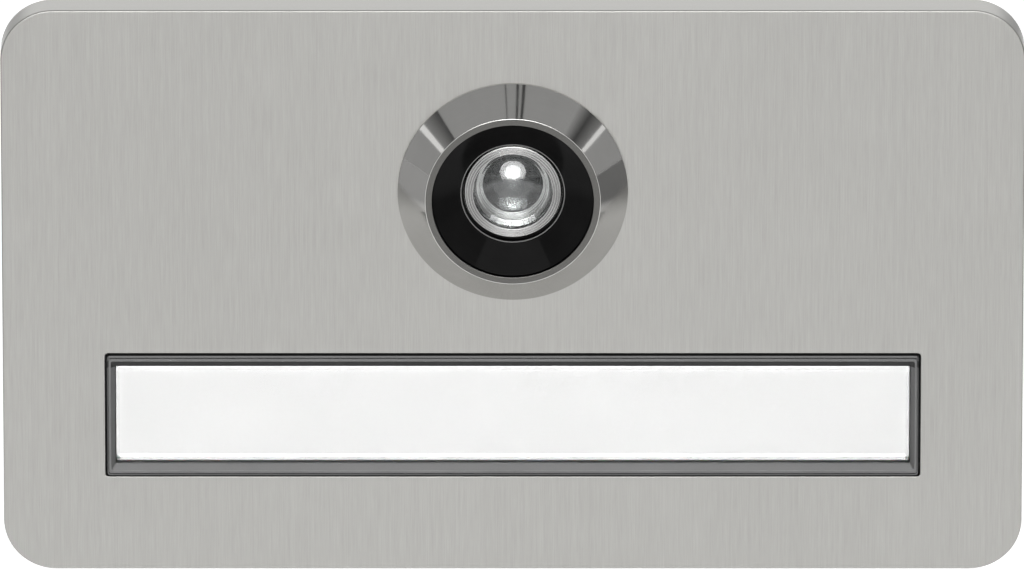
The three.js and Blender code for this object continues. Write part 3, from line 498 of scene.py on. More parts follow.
def startTree(name, sizes):
    tree = bpy.data.node_groups.new(name, "GeometryNodeTree")
    tree.interface.new_socket(name="Geometry", in_out="INPUT", socket_type="NodeSocketGeometry")
    for label, value in sizes.items():
        kind = {int: "NodeSocketInt", float: "NodeSocketFloat", tuple: "NodeSocketVector",
                str: "NodeSocketObject"}[type(value)]
        socket = tree.interface.new_socket(name=label, in_out="INPUT", socket_type=kind)
        if not isinstance(value, str):
            socket.default_value = value
    tree.interface.new_socket(name="Finish", in_out="INPUT", socket_type="NodeSocketMaterial")
    tree.interface.new_socket(name="Geometry", in_out="OUTPUT", socket_type="NodeSocketGeometry")
    given = tree.nodes.new("NodeGroupInput").outputs
    return tree, given


def endTree(tree, given, geometry):
    solid = place(tree, "GeometryNodeRealizeInstances", {"Geometry": geometry}).outputs[0]
    painted = place(tree, "GeometryNodeSetMaterial", {"Geometry": solid, "Material": given["Finish"]})
    place(tree, "NodeGroupOutput", {"Geometry": painted.outputs[0]})
    return tree


# Turns a shape made round Z to stand round Y, then moves it
def toDepth(tree, geometry, where):
    turn = {"Geometry": geometry, "Rotation": (-math.pi / 2, 0, 0), "Translation": where}
    return place(tree, "GeometryNodeTransform", turn).outputs[0]


def threadTree():
    sizes = {"Radius": 1.5 * mm, "Length": 5 * mm, "Turns": 10.0, "Ridge": 0.2 * mm, "Where": (0.0, 0.0, 0.0)}
    tree, given = startTree("thread", sizes)
    spiral = place(tree, "GeometryNodeCurveSpiral", {
        "Resolution": 48, "Rotations": given["Turns"], "Start Radius": given["Radius"],
        "End Radius": given["Radius"], "Height": given["Length"]})
    upright = place(tree, "GeometryNodeSetCurveNormal", {"Curve": spiral.outputs[0]}, mode="Z_UP")
    section = place(tree, "GeometryNodeCurvePrimitiveCircle", {"Resolution": 4, "Radius": given["Ridge"]})
    ridge = place(tree, "GeometryNodeCurveToMesh", {
        "Curve": upright.outputs[0], "Profile Curve": section.outputs[0], "Fill Caps": True})
    return endTree(tree, given, toDepth(tree, ridge.outputs[0], given["Where"]))


def coilTree():
    sizes = {"Points": 240, "Turns": 5.0, "Radius": 2.15 * mm, "Wire": 0.2 * mm, "Length": 4 * mm,
             "Closed length": 2.1 * mm, "Where": (0.0, 0.0, 0.0)}
    tree, given = startTree("coil", sizes)
    line = place(tree, "GeometryNodeMeshLine", {"Count": given["Points"]})
    index = place(tree, "GeometryNodeInputIndex").outputs[0]
    last = math2(tree, "SUBTRACT", given["Points"], 1.0)
    share = math2(tree, "DIVIDE", index, last)
    angle = math2(tree, "MULTIPLY", math2(tree, "MULTIPLY", share, given["Turns"]), fullTurn)
    across = math2(tree, "MULTIPLY", math2(tree, "COSINE", angle), given["Radius"])
    up = math2(tree, "MULTIPLY", math2(tree, "SINE", angle), given["Radius"])
    steady = math2(tree, "MULTIPLY", share, given["Closed length"])
    spare = math2(tree, "SUBTRACT", given["Length"], given["Closed length"])
    eased = mapRange(tree, share, 0.14, 0.86, 0.0, 1.0, "SMOOTHSTEP")
    depth = math2(tree, "ADD", steady, math2(tree, "MULTIPLY", eased, spare))
    spot = place(tree, "ShaderNodeCombineXYZ", {"X": across, "Y": depth, "Z": up}).outputs[0]
    moved = place(tree, "ShaderNodeVectorMath", {0: spot, 1: given["Where"]}, operation="ADD").outputs[0]
    path = place(tree, "GeometryNodeSetPosition", {"Geometry": line.outputs[0], "Position": moved})
    curve = place(tree, "GeometryNodeMeshToCurve", {"Mesh": path.outputs[0]})
    section = place(tree, "GeometryNodeCurvePrimitiveCircle", {"Resolution": 12, "Radius": given["Wire"]})
    wire = place(tree, "GeometryNodeCurveToMesh", {
        "Curve": curve.outputs[0], "Profile Curve": section.outputs[0], "Fill Caps": True})
    return endTree(tree, given, wire.outputs[0])


# Copies of one part in a ring, each turned to face outwards
def ringTree():
    tree, given = startTree("ring", {"Count": 12, "Radius": 5 * mm, "Where": (0.0, 0.0, 0.0), "Part": ""})
    ring = place(tree, "GeometryNodeMeshCircle", {"Vertices": given["Count"], "Radius": given["Radius"]})
    spot = place(tree, "GeometryNodeInputPosition").outputs[0]
    facing = place(tree, "FunctionNodeAlignRotationToVector", {"Vector": spot}, axis="X").outputs[0]
    part = place(tree, "GeometryNodeObjectInfo", {"Object": given["Part"], "As Instance": True})
    copies = place(tree, "GeometryNodeInstanceOnPoints", {
        "Points": ring.outputs[0], "Instance": part.outputs["Geometry"], "Rotation": facing})
    return endTree(tree, given, toDepth(tree, copies.outputs[0], given["Where"]))


# Copies of one part in a row
def rowTree():
    sizes = {"Count": 8, "Start": (0.0, 0.0, 0.0), "Step": (0.01, 0.0, 0.0), "Part": ""}
    tree, given = startTree("row", sizes)
    line = place(tree, "GeometryNodeMeshLine", {
        "Count": given["Count"], "Start Location": given["Start"], "Offset": given["Step"]})
    part = place(tree, "GeometryNodeObjectInfo", {"Object": given["Part"], "As Instance": True})
    copies = place(tree, "GeometryNodeInstanceOnPoints", {
        "Points": line.outputs[0], "Instance": part.outputs["Geometry"]})
    return endTree(tree, given, copies.outputs[0])


trees = {"thread": threadTree(), "coil": coilTree(), "ring": ringTree(), "row": rowTree()}


# Runs one tree with its inputs set and gives back a plain mesh object
def grow(name, treeName, material, values):
    made = linkNew(name, bpy.data.meshes.new(name))
    tree = trees[treeName]
    step = made.modifiers.new(treeName, "NODES")
    step.node_group = tree
    given = {**values, "Finish": material}
    for socket in tree.interface.items_tree:
        if socket.in_out == "INPUT" and socket.name in given:
            step[socket.identifier] = given[socket.name]
    applyModifiers(made)
    part = values.get("Part")
    if part is not None:
        bpy.data.objects.remove(part)
    return made


def rowOf(name, part, count, start, step, material):
    values = {"Count": count, "Start": [v * mm for v in start], "Step": [v * mm for v in step], "Part": part}
    return grow(name, "row", material, values)


def threadOn(name, radius, ridge, start, end, pitch, x, z, material):
    length = end - start
    values = {"Radius": (radius - ridge) * mm, "Length": length * mm, "Turns": length / pitch,
              "Ridge": ridge * mm, "Where": (x * mm, start * mm, z)}
    return grow(name, "thread", material, values)


print("node trees made:", len(trees))


# Front plate and foam pad

plate = {"width": 120, "height": 70, "corner": 6.2, "front": -5, "back": -1, "edge": 0.15,
         "cutWidth": 96, "cutHeight": 15.5, "cutCorner": 0.4, "cutEdge": 0.07, "hole": 7.2}


def makePlate():
    size = plate
    keyHeight, viewerHeight = keyZ / mm, viewerZ / mm
    wall = roundedWall(size["front"], size["back"], size["edge"], size["edge"])
    outside = boxRings(size["width"], size["height"], size["corner"], wall, steps=24)
    cut = [(-inset, depth) for inset, depth in
           roundedWall(size["front"], size["back"], size["cutEdge"], size["cutEdge"])]
    field = boxRings(size["cutWidth"], size["cutHeight"], size["cutCorner"], cut, 0, keyHeight)
    hole = circleRings(size["hole"], cut, 0, viewerHeight, 96)
    piece = slab("front_plate_steel", [(outside, "front", "back"), (field, "front", "back"),
                                       (hole, "front", "back")])
    finishPiece(piece, plateSteel, "root", "plate_steel", "front_plate")


pad = {"width": 117, "height": 67, "corner": 4.7, "front": -1, "back": 0, "bulge": 0.16, "hole": 7.4,
       "gap": 0.5, "housing": (101, 20.5), "ear": 2.9, "studX": 40, "studZ": 13.625}


# Outline of the housing with its four ears, with the pad's gap and a further margin round it
def padOpening(margin):
    size = pad
    halfWidth = size["housing"][0] / 2 + size["gap"] + margin
    halfHeight = size["housing"][1] / 2 + size["gap"] + margin
    ear = size["ear"] + size["gap"] + margin
    points = []
    for up in (-1, 1):
        points.append((up * -halfWidth, up * halfHeight))
        for side in (-1, 1):
            middle = up * side * size["studX"]
            count = 14
            for i in range(count + 1):
                angle = math.pi * i / count
                x = middle - up * ear * math.cos(angle)
                z = up * (size["studZ"] + ear * math.sin(angle))
                if i == 0:
                    points.append((x, up * halfHeight))
                points.append((x, z))
                if i == count:
                    points.append((x, up * halfHeight))
        points.append((up * halfWidth, up * halfHeight))
    return [(x, z + keyZ / mm) for x, z in points]


def makePad():
    size = pad
    wall = roundedWall(size["front"], size["back"], size["bulge"], size["bulge"])
    outside = boxRings(size["width"], size["height"], size["corner"], wall, steps=12)
    opening = [(padOpening(inset), depth) for inset, depth in wall]
    hole = circleRings(size["hole"], [(-inset, depth) for inset, depth in wall], 0, viewerZ / mm, 72)
    piece = slab("door_pad_foam", [(outside, "front", "back"), (opening, "front", "back"),
                                   (hole, "front", "back")])
    finishPiece(piece, paints["foam"], "root", "pad_foam", "door_pad")


makePlate()
makePad()
print("plate and pad made")


# Weld studs and their nuts

stud = {"radius": 1.5, "ridge": 0.17, "pitch": 0.5, "plain": 1.1, "tip": 0.3}
nut = {"flats": 5.5, "collar": 2.85, "collarDepth": 0.5, "bore": 1.58, "round": 2.62, "crown": 0.62,
       "crownDepth": 0.42, "crownSteps": 6, "count": 96}


def makeStud(number):
    low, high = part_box(f"weld_stud_{number}")
    x, z = (low.x + high.x) / 2 / mm, (low.z + high.z) / 2
    start, end = low.y / mm, high.y / mm
    core = stud["radius"] - stud["ridge"]
    shape = [(0, start), (stud["radius"], start), (stud["radius"], start + stud["plain"], 0.08),
             (core, start + stud["plain"] + 0.15), (core, end - stud["tip"]),
             (core - stud["tip"], end, 0.05), (0, end)]
    piece = turned(f"weld_stud_{number}_copper", shape, z, x, closed=False, facets=48)
    thread = threadOn("thread", stud["radius"], stud["ridge"], start + stud["plain"] + 0.35,
                      end - stud["tip"] - 0.15, stud["pitch"], x, z, paints["copperStud"])
    finishPiece(join(piece, thread), paints["copperStud"], "root", "stud_copper", f"weld_stud_{number}")


def nutRing(reach, x, z):
    points = []
    for i in range(nut["count"]):
        angle = fullTurn * i / nut["count"]
        radius = reach(angle)
        points.append((x + radius * math.cos(angle), z + radius * math.sin(angle)))
    return points


def makeNut(number):
    low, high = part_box(f"stud_nut_{number}")
    x, z = (low.x + high.x) / 2 / mm, (low.z + high.z) / 2 / mm
    front, back = low.y / mm, high.y / mm
    alongX = (high.x - low.x) > (high.z - low.z)
    shift = math.pi / 6 if alongX else 0.0

    def reachAt(limit):
        wedge = math.pi / 3
        return lambda angle: min(limit, nut["flats"] / 2 /
                                 math.cos(((angle + shift + wedge / 2) % wedge) - wedge / 2))

    step = front + nut["collarDepth"]
    rings = [(nutRing(lambda angle: nut["collar"] - 0.1, x, z), front),
             (nutRing(lambda angle: nut["collar"], x, z), front + 0.1),
             (nutRing(lambda angle: nut["collar"], x, z), step - 0.12),
             (nutRing(reachAt(nut["collar"] - 0.06), x, z), step)]
    # The hexagon's points are rounded off towards the back; the first ring is still the full hexagon
    for ringNumber in range(nut["crownSteps"] + 1):
        share = ringNumber / nut["crownSteps"]
        limit = nut["round"] + nut["crown"] * (1 - share) ** 0.5 if share else 2 * nut["flats"]
        rings.append((nutRing(reachAt(limit), x, z), back - nut["crownDepth"] * (1 - share)))
    bore = [(-0.2, front), (0, front + 0.2), (0, back - 0.2), (-0.2, back)]
    walls = [(rings, "front", "back"), (circleRings(nut["bore"], bore, x, z, 48), "front", "back")]
    piece = slab(f"stud_nut_{number}_zinc", walls)
    finishPiece(piece, paints["zincSteel"], "root", "zinc_steel", f"stud_nut_{number}")


for number in range(1, 5):
    makeStud(number)
    makeNut(number)
print("studs and nuts made")


# Door viewer, outer half

viewer = {"tube": 6.9, "bore": 5.75, "front": -5, "rim": -8.6, "flange": 13.5, "flangeEdge": 0.3,
          "rimOuter": 10.3, "rimInner": 9.5, "pocket": -7.65, "throat": 6.1, "throatBack": -5.35,
          "throatFloor": -4.7, "end": 23.5, "sealInner": 9.3, "sealWidth": 2, "sealDepth": 0.7,
          "threadStart": 10, "threadRidge": 0.2, "pitch": 1}


def makeViewerBody():
    size = viewer
    shape = [
        (size["tube"], size["end"], 0.15), (size["tube"], size["front"], 0.05),
        (size["sealInner"], size["front"], 0.05), (size["sealInner"], size["front"] - size["sealDepth"]),
        (size["sealInner"] + size["sealWidth"], size["front"] - size["sealDepth"]),
        (size["sealInner"] + size["sealWidth"], size["front"], 0.05),
        (size["flange"], size["front"], 0.04), (size["flange"], size["front"] - size["flangeEdge"], 0.12),
        (size["rimOuter"], size["rim"], 0.05), (size["rimInner"], size["rim"], 0.035),
        (size["rimInner"], size["pocket"]), (size["throat"], size["throatBack"]),
        (size["throat"], size["throatFloor"]), (size["bore"], size["throatFloor"], 0.05),
        (size["bore"], size["end"], 0.15),
    ]
    piece = turned("viewer_body_nickel", shape, viewerZ, facets=256)
    thread = threadOn("thread", size["bore"] + size["threadRidge"] - 0.02, size["threadRidge"],
                      size["threadStart"], size["end"] - 0.4, size["pitch"], 0, viewerZ, viewerNickel)
    finishPiece(join(piece, thread), viewerNickel, "root", "viewer_nickel", "viewer_body")


def makeSeal():
    low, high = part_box("viewer_seal")
    outer, inner = (high.x - low.x) / 2 / mm, viewer["sealInner"] + 0.1
    front, back = low.y / mm, high.y / mm
    middle = (outer + inner) / 2
    shape = [(inner, front, 0.15), (outer, front, 0.15), (outer, back, 0.12), (middle + 0.35, back, 0.05),
             (middle + 0.2, back - 0.15, 0.05), (middle - 0.2, back - 0.15, 0.05),
             (middle - 0.35, back, 0.05), (inner, back, 0.12)]
    piece = turned("viewer_seal_rubber", shape, viewerZ, facets=128)
    finishPiece(piece, paints["rubber"], "root", "seal_rubber", "viewer_seal")


funnel = {"mouth": 9.42, "mouthFront": -8.1, "throat": 6.18, "throatFront": -5.8, "lip": 6.02, "fit": 0.08}


def makeFunnel():
    size = funnel
    slope = (viewer["throatBack"] - viewer["pocket"]) / (viewer["rimInner"] - viewer["throat"])

    def seat(radius):
        return viewer["pocket"] + (viewer["rimInner"] - radius) * slope - size["fit"]

    shape = [(size["mouth"], size["mouthFront"], 0.04), (size["mouth"], seat(size["mouth"])),
             (size["throat"], seat(size["throat"])), (size["lip"], viewer["throatBack"] - size["fit"], 0.03),
             (size["lip"], size["throatFront"], 0.05), (size["throat"], size["throatFront"], 0.05)]
    piece = turned("viewer_funnel_black", shape, viewerZ, facets=256)
    finishPiece(piece, funnelBlack, "root", "viewer_black", "viewer_funnel")


cell = {"outer": 5.65, "bore": 5.1, "mouth": 4.675, "front": -5.3, "lip": 0.4, "back": 2.1,
        "grooves": 3, "grooveDepth": 0.07}


def makeLensCell():
    size = cell
    width = (size["outer"] - size["mouth"]) / (2 * size["grooves"] + 1)
    face = []
    for k in range(size["grooves"], 0, -1):
        near = size["mouth"] + width * (2 * k - 1)
        face.append((near + width, size["front"], 0.03))
        face.append((near + width * 0.8, size["front"] + size["grooveDepth"], 0.03))
        face.append((near + width * 0.2, size["front"] + size["grooveDepth"], 0.03))
        face.append((near, size["front"], 0.03))
    face = face[::-1]
    shape = [(size["mouth"], size["front"], 0.05), *face, (size["outer"], size["front"], 0.08),
             (size["outer"], size["back"], 0.1), (size["bore"], size["back"], 0.05),
             (size["bore"], size["front"] + size["lip"]),
             (size["mouth"], size["front"] + size["lip"], 0.05)]
    piece = turned("lens_cell_satin", shape, viewerZ, facets=192, steps=3)
    finishPiece(piece, brightNickel, "root", "bright_nickel", "lens_cell")


def makeFrontLens():
    lens = {"radius": 5.02, "seat": -4.88, "back": -3.58, "dome": 4.595, "rise": 0.9, "bowl": 3.8, "dip": 0.7}
    shape = [*dome(lens["dome"], lens["seat"], -lens["rise"], inward=False),
             (lens["radius"], lens["seat"], 0.05), (lens["radius"], lens["back"], 0.05),
             *dome(lens["bowl"], lens["back"], -lens["dip"])]
    piece = turned("objective_lens_glass", shape, viewerZ, closed=False, facets=128, steps=3)
    finishPiece(piece, paints["lensGlass"], "root", "lens_glass", "objective_lens")


def makeSpacer():
    ring = {"outer": 5.02, "front": -3.56, "back": -2.06, "mouth": 4.55, "throat": 3.4, "steps": 7}
    shape = [(ring["outer"], ring["front"], 0.05), (ring["outer"], ring["back"], 0.05)]
    for i in range(ring["steps"], 0, -1):
        radius = ring["mouth"] + (ring["throat"] - ring["mouth"]) * i / ring["steps"]
        depth = ring["back"] - ring["front"]
        shape.append((radius, ring["front"] + depth * i / ring["steps"], 0.02))
        shape.append((radius, ring["front"] + depth * (i - 1) / ring["steps"], 0.03))
    piece = turned("lens_spacer_satin", shape, viewerZ, facets=192, steps=3)
    finishPiece(piece, spacerNickel, "root", "bright_nickel", "lens_spacer")


def makeSecondLens():
    lens = {"radius": 5.02, "seat": -2.04, "back": -0.84, "dome": 3.32, "rise": 0.9}
    shape = [*dome(lens["dome"], lens["seat"], -lens["rise"], inward=False),
             (lens["radius"], lens["seat"], 0.05), (lens["radius"], lens["back"], 0.05), (0, lens["back"])]
    piece = turned("second_lens_glass", shape, viewerZ, closed=False, facets=128, steps=3)
    finishPiece(piece, paints["coatedGlass"], "root", "lens_glass", "second_lens")


lockRing = {"inner": 3.1, "slot": (12, 0.8), "slotDepth": 0.45}


def makeLockRing():
    low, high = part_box("lens_lock_ring")
    inner, outer = lockRing["inner"], (high.x - low.x) / 2 / mm
    front, back = low.y / mm, high.y / mm
    shape = [(inner, front, 0.1), (outer, front, 0.05), (outer, back, 0.1), (inner, back, 0.15)]
    piece = turned("lens_lock_ring_black", shape, viewerZ, facets=96)
    cut = [(0, back - lockRing["slotDepth"]), (0, back + 1)]
    slots = slab("slots", [(boxRings(*lockRing["slot"], 0.1, cut, 0, viewerZ / mm), "front", "back")])
    combine(piece, slots)
    finishPiece(piece, paints["glossBlack"], "root", "viewer_black", "lens_lock_ring")


makeViewerBody()
makeSeal()
makeFunnel()
makeLensCell()
makeFrontLens()
makeSpacer()
makeSecondLens()
makeLockRing()
print("outer half of the viewer made")


# Door viewer, inner half

clamp = {"inner": 5.75, "outer": 10, "front": 26, "back": 26.8, "teeth": 72, "tooth": 0.14,
         "toothRadius": 7.9, "toothFoot": (1.7, 0.14), "toothCrest": (1.6, 0.04), "toothHalf": 0.13}


def makeClampWasher():
    size = clamp
    face = size["front"] + size["tooth"]
    shape = [(size["inner"], face, 0.1), (size["outer"], face, 0.1), (size["outer"], size["back"], 0.15),
             (size["inner"], size["back"], 0.1)]
    piece = turned("clamp_washer_nickel", shape, viewerZ, facets=144)
    foot, crest = ([(-long, 0.0), (0.0, -wide), (long, 0.0), (0.0, wide)]
                   for long, wide in (size["toothFoot"], size["toothCrest"]))
    tooth = slab("tooth", [([(foot, -size["toothHalf"]), (crest, size["toothHalf"])], "low", "high")],
                 along="Z")
    values = {"Count": size["teeth"], "Radius": size["toothRadius"] * mm, "Where": (0, face * mm, viewerZ),
              "Part": tooth}
    teeth = grow("teeth", "ring", viewerNickel, values)
    teeth.data.transform(Matrix.Translation((0, -face * mm, 0)))
    teeth.data.transform(Matrix.Diagonal((1, -1, 1, 1)))
    teeth.data.flip_normals()
    teeth.data.transform(Matrix.Translation((0, face * mm, 0)))
    finishPiece(join(piece, teeth), viewerNickel, "clamp", "viewer_nickel", "clamp_washer")


eyepiece = {"outer": 5.45, "ridge": 0.22, "bore": 4.65, "tip": 3, "front": 26.9, "back": 28.9, "flange": 10,
            "seat": 5, "seatDepth": 27.4, "pitch": 1, "knurls": 96, "knurl": 0.16, "slotWidth": 1.6,
            "slotDepth": 0.9, "slotLength": 3, "pinBore": 0.98, "pinDepth": 1.2}


def makeEyepiece():
    size = eyepiece
    core = size["outer"] - size["ridge"]
    grip = size["flange"] - size["knurl"]
    shape = [(core, size["tip"], 0.25), (core, size["front"] - 1.2), (size["outer"], size["front"] - 1.1),
             (size["outer"], size["front"], 0.05), (grip, size["front"], 0.12), (grip, size["back"], 0.3),
             (size["seat"] + 0.5, size["back"], 0.06), (size["seat"], size["back"] - 0.12, 0.05),
             (size["seat"], size["seatDepth"]), (size["bore"], size["seatDepth"], 0.05),
             (size["bore"], size["tip"], 0.1)]
    piece = turned("eyepiece_barrel_nickel", shape, viewerZ, facets=192)
    for side in (-1, 1):
        slot = slab("slot", [(boxRings(2 * size["slotLength"], size["slotWidth"], 0.4,
                                       [(0, size["back"] - size["slotDepth"]), (0, size["back"] + 1)],
                                       side * size["flange"], viewerZ / mm), "front", "back")])
        combine(piece, slot)
    bore = slab("bore", [(circleRings(size["pinBore"], [(0, size["back"] - size["pinDepth"]),
                                                        (0, size["back"] + 1)], 0, pivotZ / mm, 40),
                          "front", "back")])
    combine(piece, bore)
    thread = threadOn("thread", size["outer"], size["ridge"], size["tip"] + 0.6, size["front"] - 1.6,
                      size["pitch"], 0, viewerZ, viewerNickel)
    join(piece, thread)
    middle = (size["front"] + size["back"]) / 2
    half = (size["back"] - size["front"]) / 2 - 0.35
    ridge = slab("ridge", [([(circle(size["knurl"] * 0.3, count=4), -half),
                             (circle(size["knurl"], count=4), -half + 0.15),
                             (circle(size["knurl"], count=4), half - 0.15),
                             (circle(size["knurl"] * 0.3, count=4), half)], "low", "high")], along="Z")
    ringValues = {"Count": size["knurls"], "Radius": grip * mm, "Where": (0, middle * mm, viewerZ),
                  "Part": ridge}
    join(piece, grow("knurls", "ring", viewerNickel, ringValues))
    finishPiece(piece, viewerNickel, "eyepiece", "viewer_nickel", "eyepiece_barrel")


def makeOcular():
    lens = {"radius": 4.92, "front": 27.42, "back": 28.32, "dome": 4.12, "rise": 0.55}
    shape = [(0, lens["front"]), (lens["radius"], lens["front"], 0.05), (lens["radius"], lens["back"], 0.05),
             *dome(lens["dome"], lens["back"], lens["rise"])]
    piece = turned("eyepiece_lens_glass", shape, viewerZ, closed=False, facets=128, steps=3)
    finishPiece(piece, paints["lensGlass"], "eyepiece", "lens_glass", "eyepiece_lens")


retainer = {"inner": 4.2, "outer": 4.92, "front": 28.34, "back": 28.69, "slot": (12, 0.7),
            "slotFloor": 28.52, "slotEnd": 29.5}


def makeRetainer():
    size = retainer
    shape = [(size["inner"], size["front"]), (size["outer"], size["front"], 0.05),
             (size["outer"], size["back"], 0.08), (size["inner"], size["back"], 0.18)]
    piece = turned("eyepiece_retainer_black", shape, viewerZ, facets=128)
    cut = [(0, size["slotFloor"]), (0, size["slotEnd"])]
    slots = slab("slots", [(boxRings(*size["slot"], 0.1, cut, 0, viewerZ / mm), "front", "back")])
    combine(piece, slots)
    finishPiece(piece, paints["glossBlack"], "eyepiece", "viewer_black", "eyepiece_retainer")


cover = {"front": 29.15, "back": 29.95, "disc": 5.7, "ear": 2.2, "reach": 7.4, "hole": 1.1,
         "tabHalf": 1.5, "tabEnd": 7.3, "dish": 0.25, "dishRadius": 4.6, "grips": 3, "grip": (2.2, 0.22),
         "gripZ": 6.9, "gripPitch": 0.42, "count": 288}


# How far the cover reaches from the viewer's axis: disc, ear and neck above, finger tab below
def coverReach(angle, inset):
    size = cover
    side, up = math.cos(angle), math.sin(angle)
    best = size["disc"] - inset
    ear = size["ear"] - inset
    if up > 0:
        neck = min(ear / max(abs(side), 1e-9), size["reach"] / up)
        gap = ear ** 2 - (size["reach"] * side) ** 2
        best = max(best, neck)
        if gap > 0:
            best = max(best, size["reach"] * up + math.sqrt(gap))
    else:
        tab = min((size["tabHalf"] - inset) / max(abs(side), 1e-9), (size["tabEnd"] - inset) / max(-up, 1e-9))
        best = max(best, tab)
    return best


def coverRing(inset):
    points = []
    for i in range(cover["count"]):
        angle = fullTurn * (i + 0.5) / cover["count"]
        radius = coverReach(angle, inset)
        points.append((radius * math.cos(angle), viewerZ / mm + radius * math.sin(angle)))
    return points


def makeCover():
    size = cover
    wall = roundedWall(size["front"], size["back"], 0.1, 0.18)
    outside = [(coverRing(inset), depth) for inset, depth in wall]
    front, back = size["front"], size["back"]
    bore = [(-0.08, front), (0, front + 0.08), (0, back - 0.08), (-0.08, back)]
    hole = circleRings(size["hole"], bore, 0, pivotZ / mm, 48)
    bowl = [(0, back), (0.08, back - 0.03), (0.35, back - size["dish"] + 0.03), (0.45, back - size["dish"])]
    dish = circleRings(size["dishRadius"], bowl, 0, viewerZ / mm, 96)
    piece = slab("privacy_cover_nickel", [(outside, "front", "back"), (hole, "front", "back"),
                                          (dish, "back", "dish")])
    grip = slab("grip", [(boxRings(*size["grip"], 0.1, [(0, 0), (0.02, 0.1), (0.08, 0.16)]), "low", "high")])
    start, step = (0, back - 0.16, viewerZ / mm - size["gripZ"]), (0, 0, size["gripPitch"])
    grips = rowOf("grips", grip, size["grips"], start, step, viewerNickel)
    finishPiece(join(piece, grips), viewerNickel, "cover", "viewer_nickel", "privacy_cover")


coverPivot = {"front": 27.72, "tip": 0.75, "taperEnd": 27.9, "shank": 0.9, "seat": 30.05, "head": 1.7,
              "rim": 30.3, "crown": (1.3, 30.6), "back": 30.65, "slot": (4, 0.5), "slotFloor": 30.35,
              "slotEnd": 31}


def makeCoverPivot():
    size = coverPivot
    shape = [(0, size["front"]), (size["tip"], size["front"], 0.05), (size["shank"], size["taperEnd"]),
             (size["shank"], size["seat"]), (size["head"], size["seat"], 0.08),
             (size["head"], size["rim"], 0.1), (*size["crown"], 0.3), (0, size["back"])]
    piece = turned("cover_pivot_satin", shape, pivotZ, closed=False, facets=64)
    cut = [(0, size["slotFloor"]), (0, size["slotEnd"])]
    slot = slab("slot", [(boxRings(*size["slot"], 0.05, cut, 0, pivotZ / mm), "front", "back")])
    combine(piece, slot)
    finishPiece(piece, brightNickel, "eyepiece", "bright_nickel", "cover_pivot")


makeClampWasher()
makeEyepiece()
makeOcular()
makeRetainer()
makeCover()
makeCoverPivot()
print("inner half of the viewer made")


# The call key

bezel = {"width": 95.5, "height": 15.0, "back": -0.95, "sideWall": 0.95, "topWall": 1.4, "clipX": 20,
         "clipZ": 6.8, "clip": (6, 0.8), "hookFront": 0.35, "hookBack": 1.15, "barb": 0.35}

# The frame's section, given as (share of the way in, depth). The sides are narrower than the top
# and the bottom.
bezelSection = [(0.0, -0.95), (0.0, -5.19), (0.11, -5.29), (0.12, -5.3), (0.13, -5.28), (0.13, -5.02),
                (0.22, -5.02), (0.22, -5.28), (0.23, -5.3), (0.45, -5.3), (0.48, -5.285), (0.98, -4.86),
                (1.0, -4.82), (1.0, -0.95)]


def bezelRing(share):
    size = bezel
    width = size["width"] - 2 * share * size["sideWall"]
    height = size["height"] - 2 * share * size["topWall"]
    return roundedBox(width, height, 0.35 - 0.2 * share, 0, keyZ / mm, 4)


# The upper slope looks down and lies in its own shade
def shadeSlope(material, shade):
    tree = material.node_tree
    shader = tree.nodes["Principled BSDF"]
    coords = place(tree, "ShaderNodeTexCoord").outputs["Object"]
    split = place(tree, "ShaderNodeSeparateXYZ", {"Vector": coords})
    above = math2(tree, "GREATER_THAN", split.outputs["Z"], keyZ + shade["low"] * mm)
    behind = math2(tree, "GREATER_THAN", split.outputs["Y"], shade["front"] * mm)
    inside = math2(tree, "LESS_THAN", split.outputs["Z"], keyZ + shade["high"] * mm)
    factor = math2(tree, "MULTIPLY", math2(tree, "MULTIPLY", above, behind), inside)
    steady = shader.inputs["Base Color"].links[0].from_socket
    tree.links.new(mixSockets(tree, factor, steady, (*shade["colour"], 1)), shader.inputs["Base Color"])


def makeBezel():
    size = bezel
    rings = [(bezelRing(share), depth) for share, depth in bezelSection]
    piece = slab("key_bezel_grey", [(rings, "back", "back")])
    for side in (-1, 1):
        for up in (-1, 1):
            z = keyZ / mm + up * size["clipZ"]
            width, thickness = size["clip"]
            leg = slab("leg", [(boxRings(width, thickness, 0.12, [(0, size["back"] - 0.6),
                                                                  (0, size["hookBack"] - 0.1),
                                                                  (0.1, size["hookBack"])],
                                         side * size["clipX"], z), "front", "back")])
            combine(piece, leg, "UNION")
            hookZ = z + up * size["barb"] / 2
            grown = thickness + size["barb"]
            hook = slab("hook", [(boxRings(width - 0.02, grown, 0.1, [(0, size["hookFront"]),
                                                                      (0, size["hookFront"] + 0.2),
                                                                      (0.3, size["hookBack"] - 0.02)],
                                           side * size["clipX"], hookZ), "front", "back")])
            combine(piece, hook, "UNION")
    shade = {"low": 6.05, "high": 6.85, "front": -5.287, "colour": (0.03, 0.03, 0.03)}
    shadeSlope(paints["bezelGrey"], shade)
    finishPiece(piece, paints["bezelGrey"], "key", "bezel_grey", "key_bezel")


def makeWindow():
    size = {"width": 93.4, "height": 12.0, "corner": 0.3, "front": -4.7, "back": -3.5, "chamfer": 0.45}
    chamfer, front = size["chamfer"], size["front"]
    walls = [(chamfer + 0.03, front), (chamfer - 0.01, front + 0.015), (0.02, front + chamfer - 0.02),
             (0.0, front + chamfer + 0.02), (0.0, size["back"] - 0.05), (0.05, size["back"])]
    rings = boxRings(size["width"], size["height"], size["corner"], walls, 0, keyZ / mm)
    piece = slab("label_window_clear", [(rings, "front", "back")])
    finishPiece(piece, paints["clearAcrylic"], "key", "window_clear", "label_window")


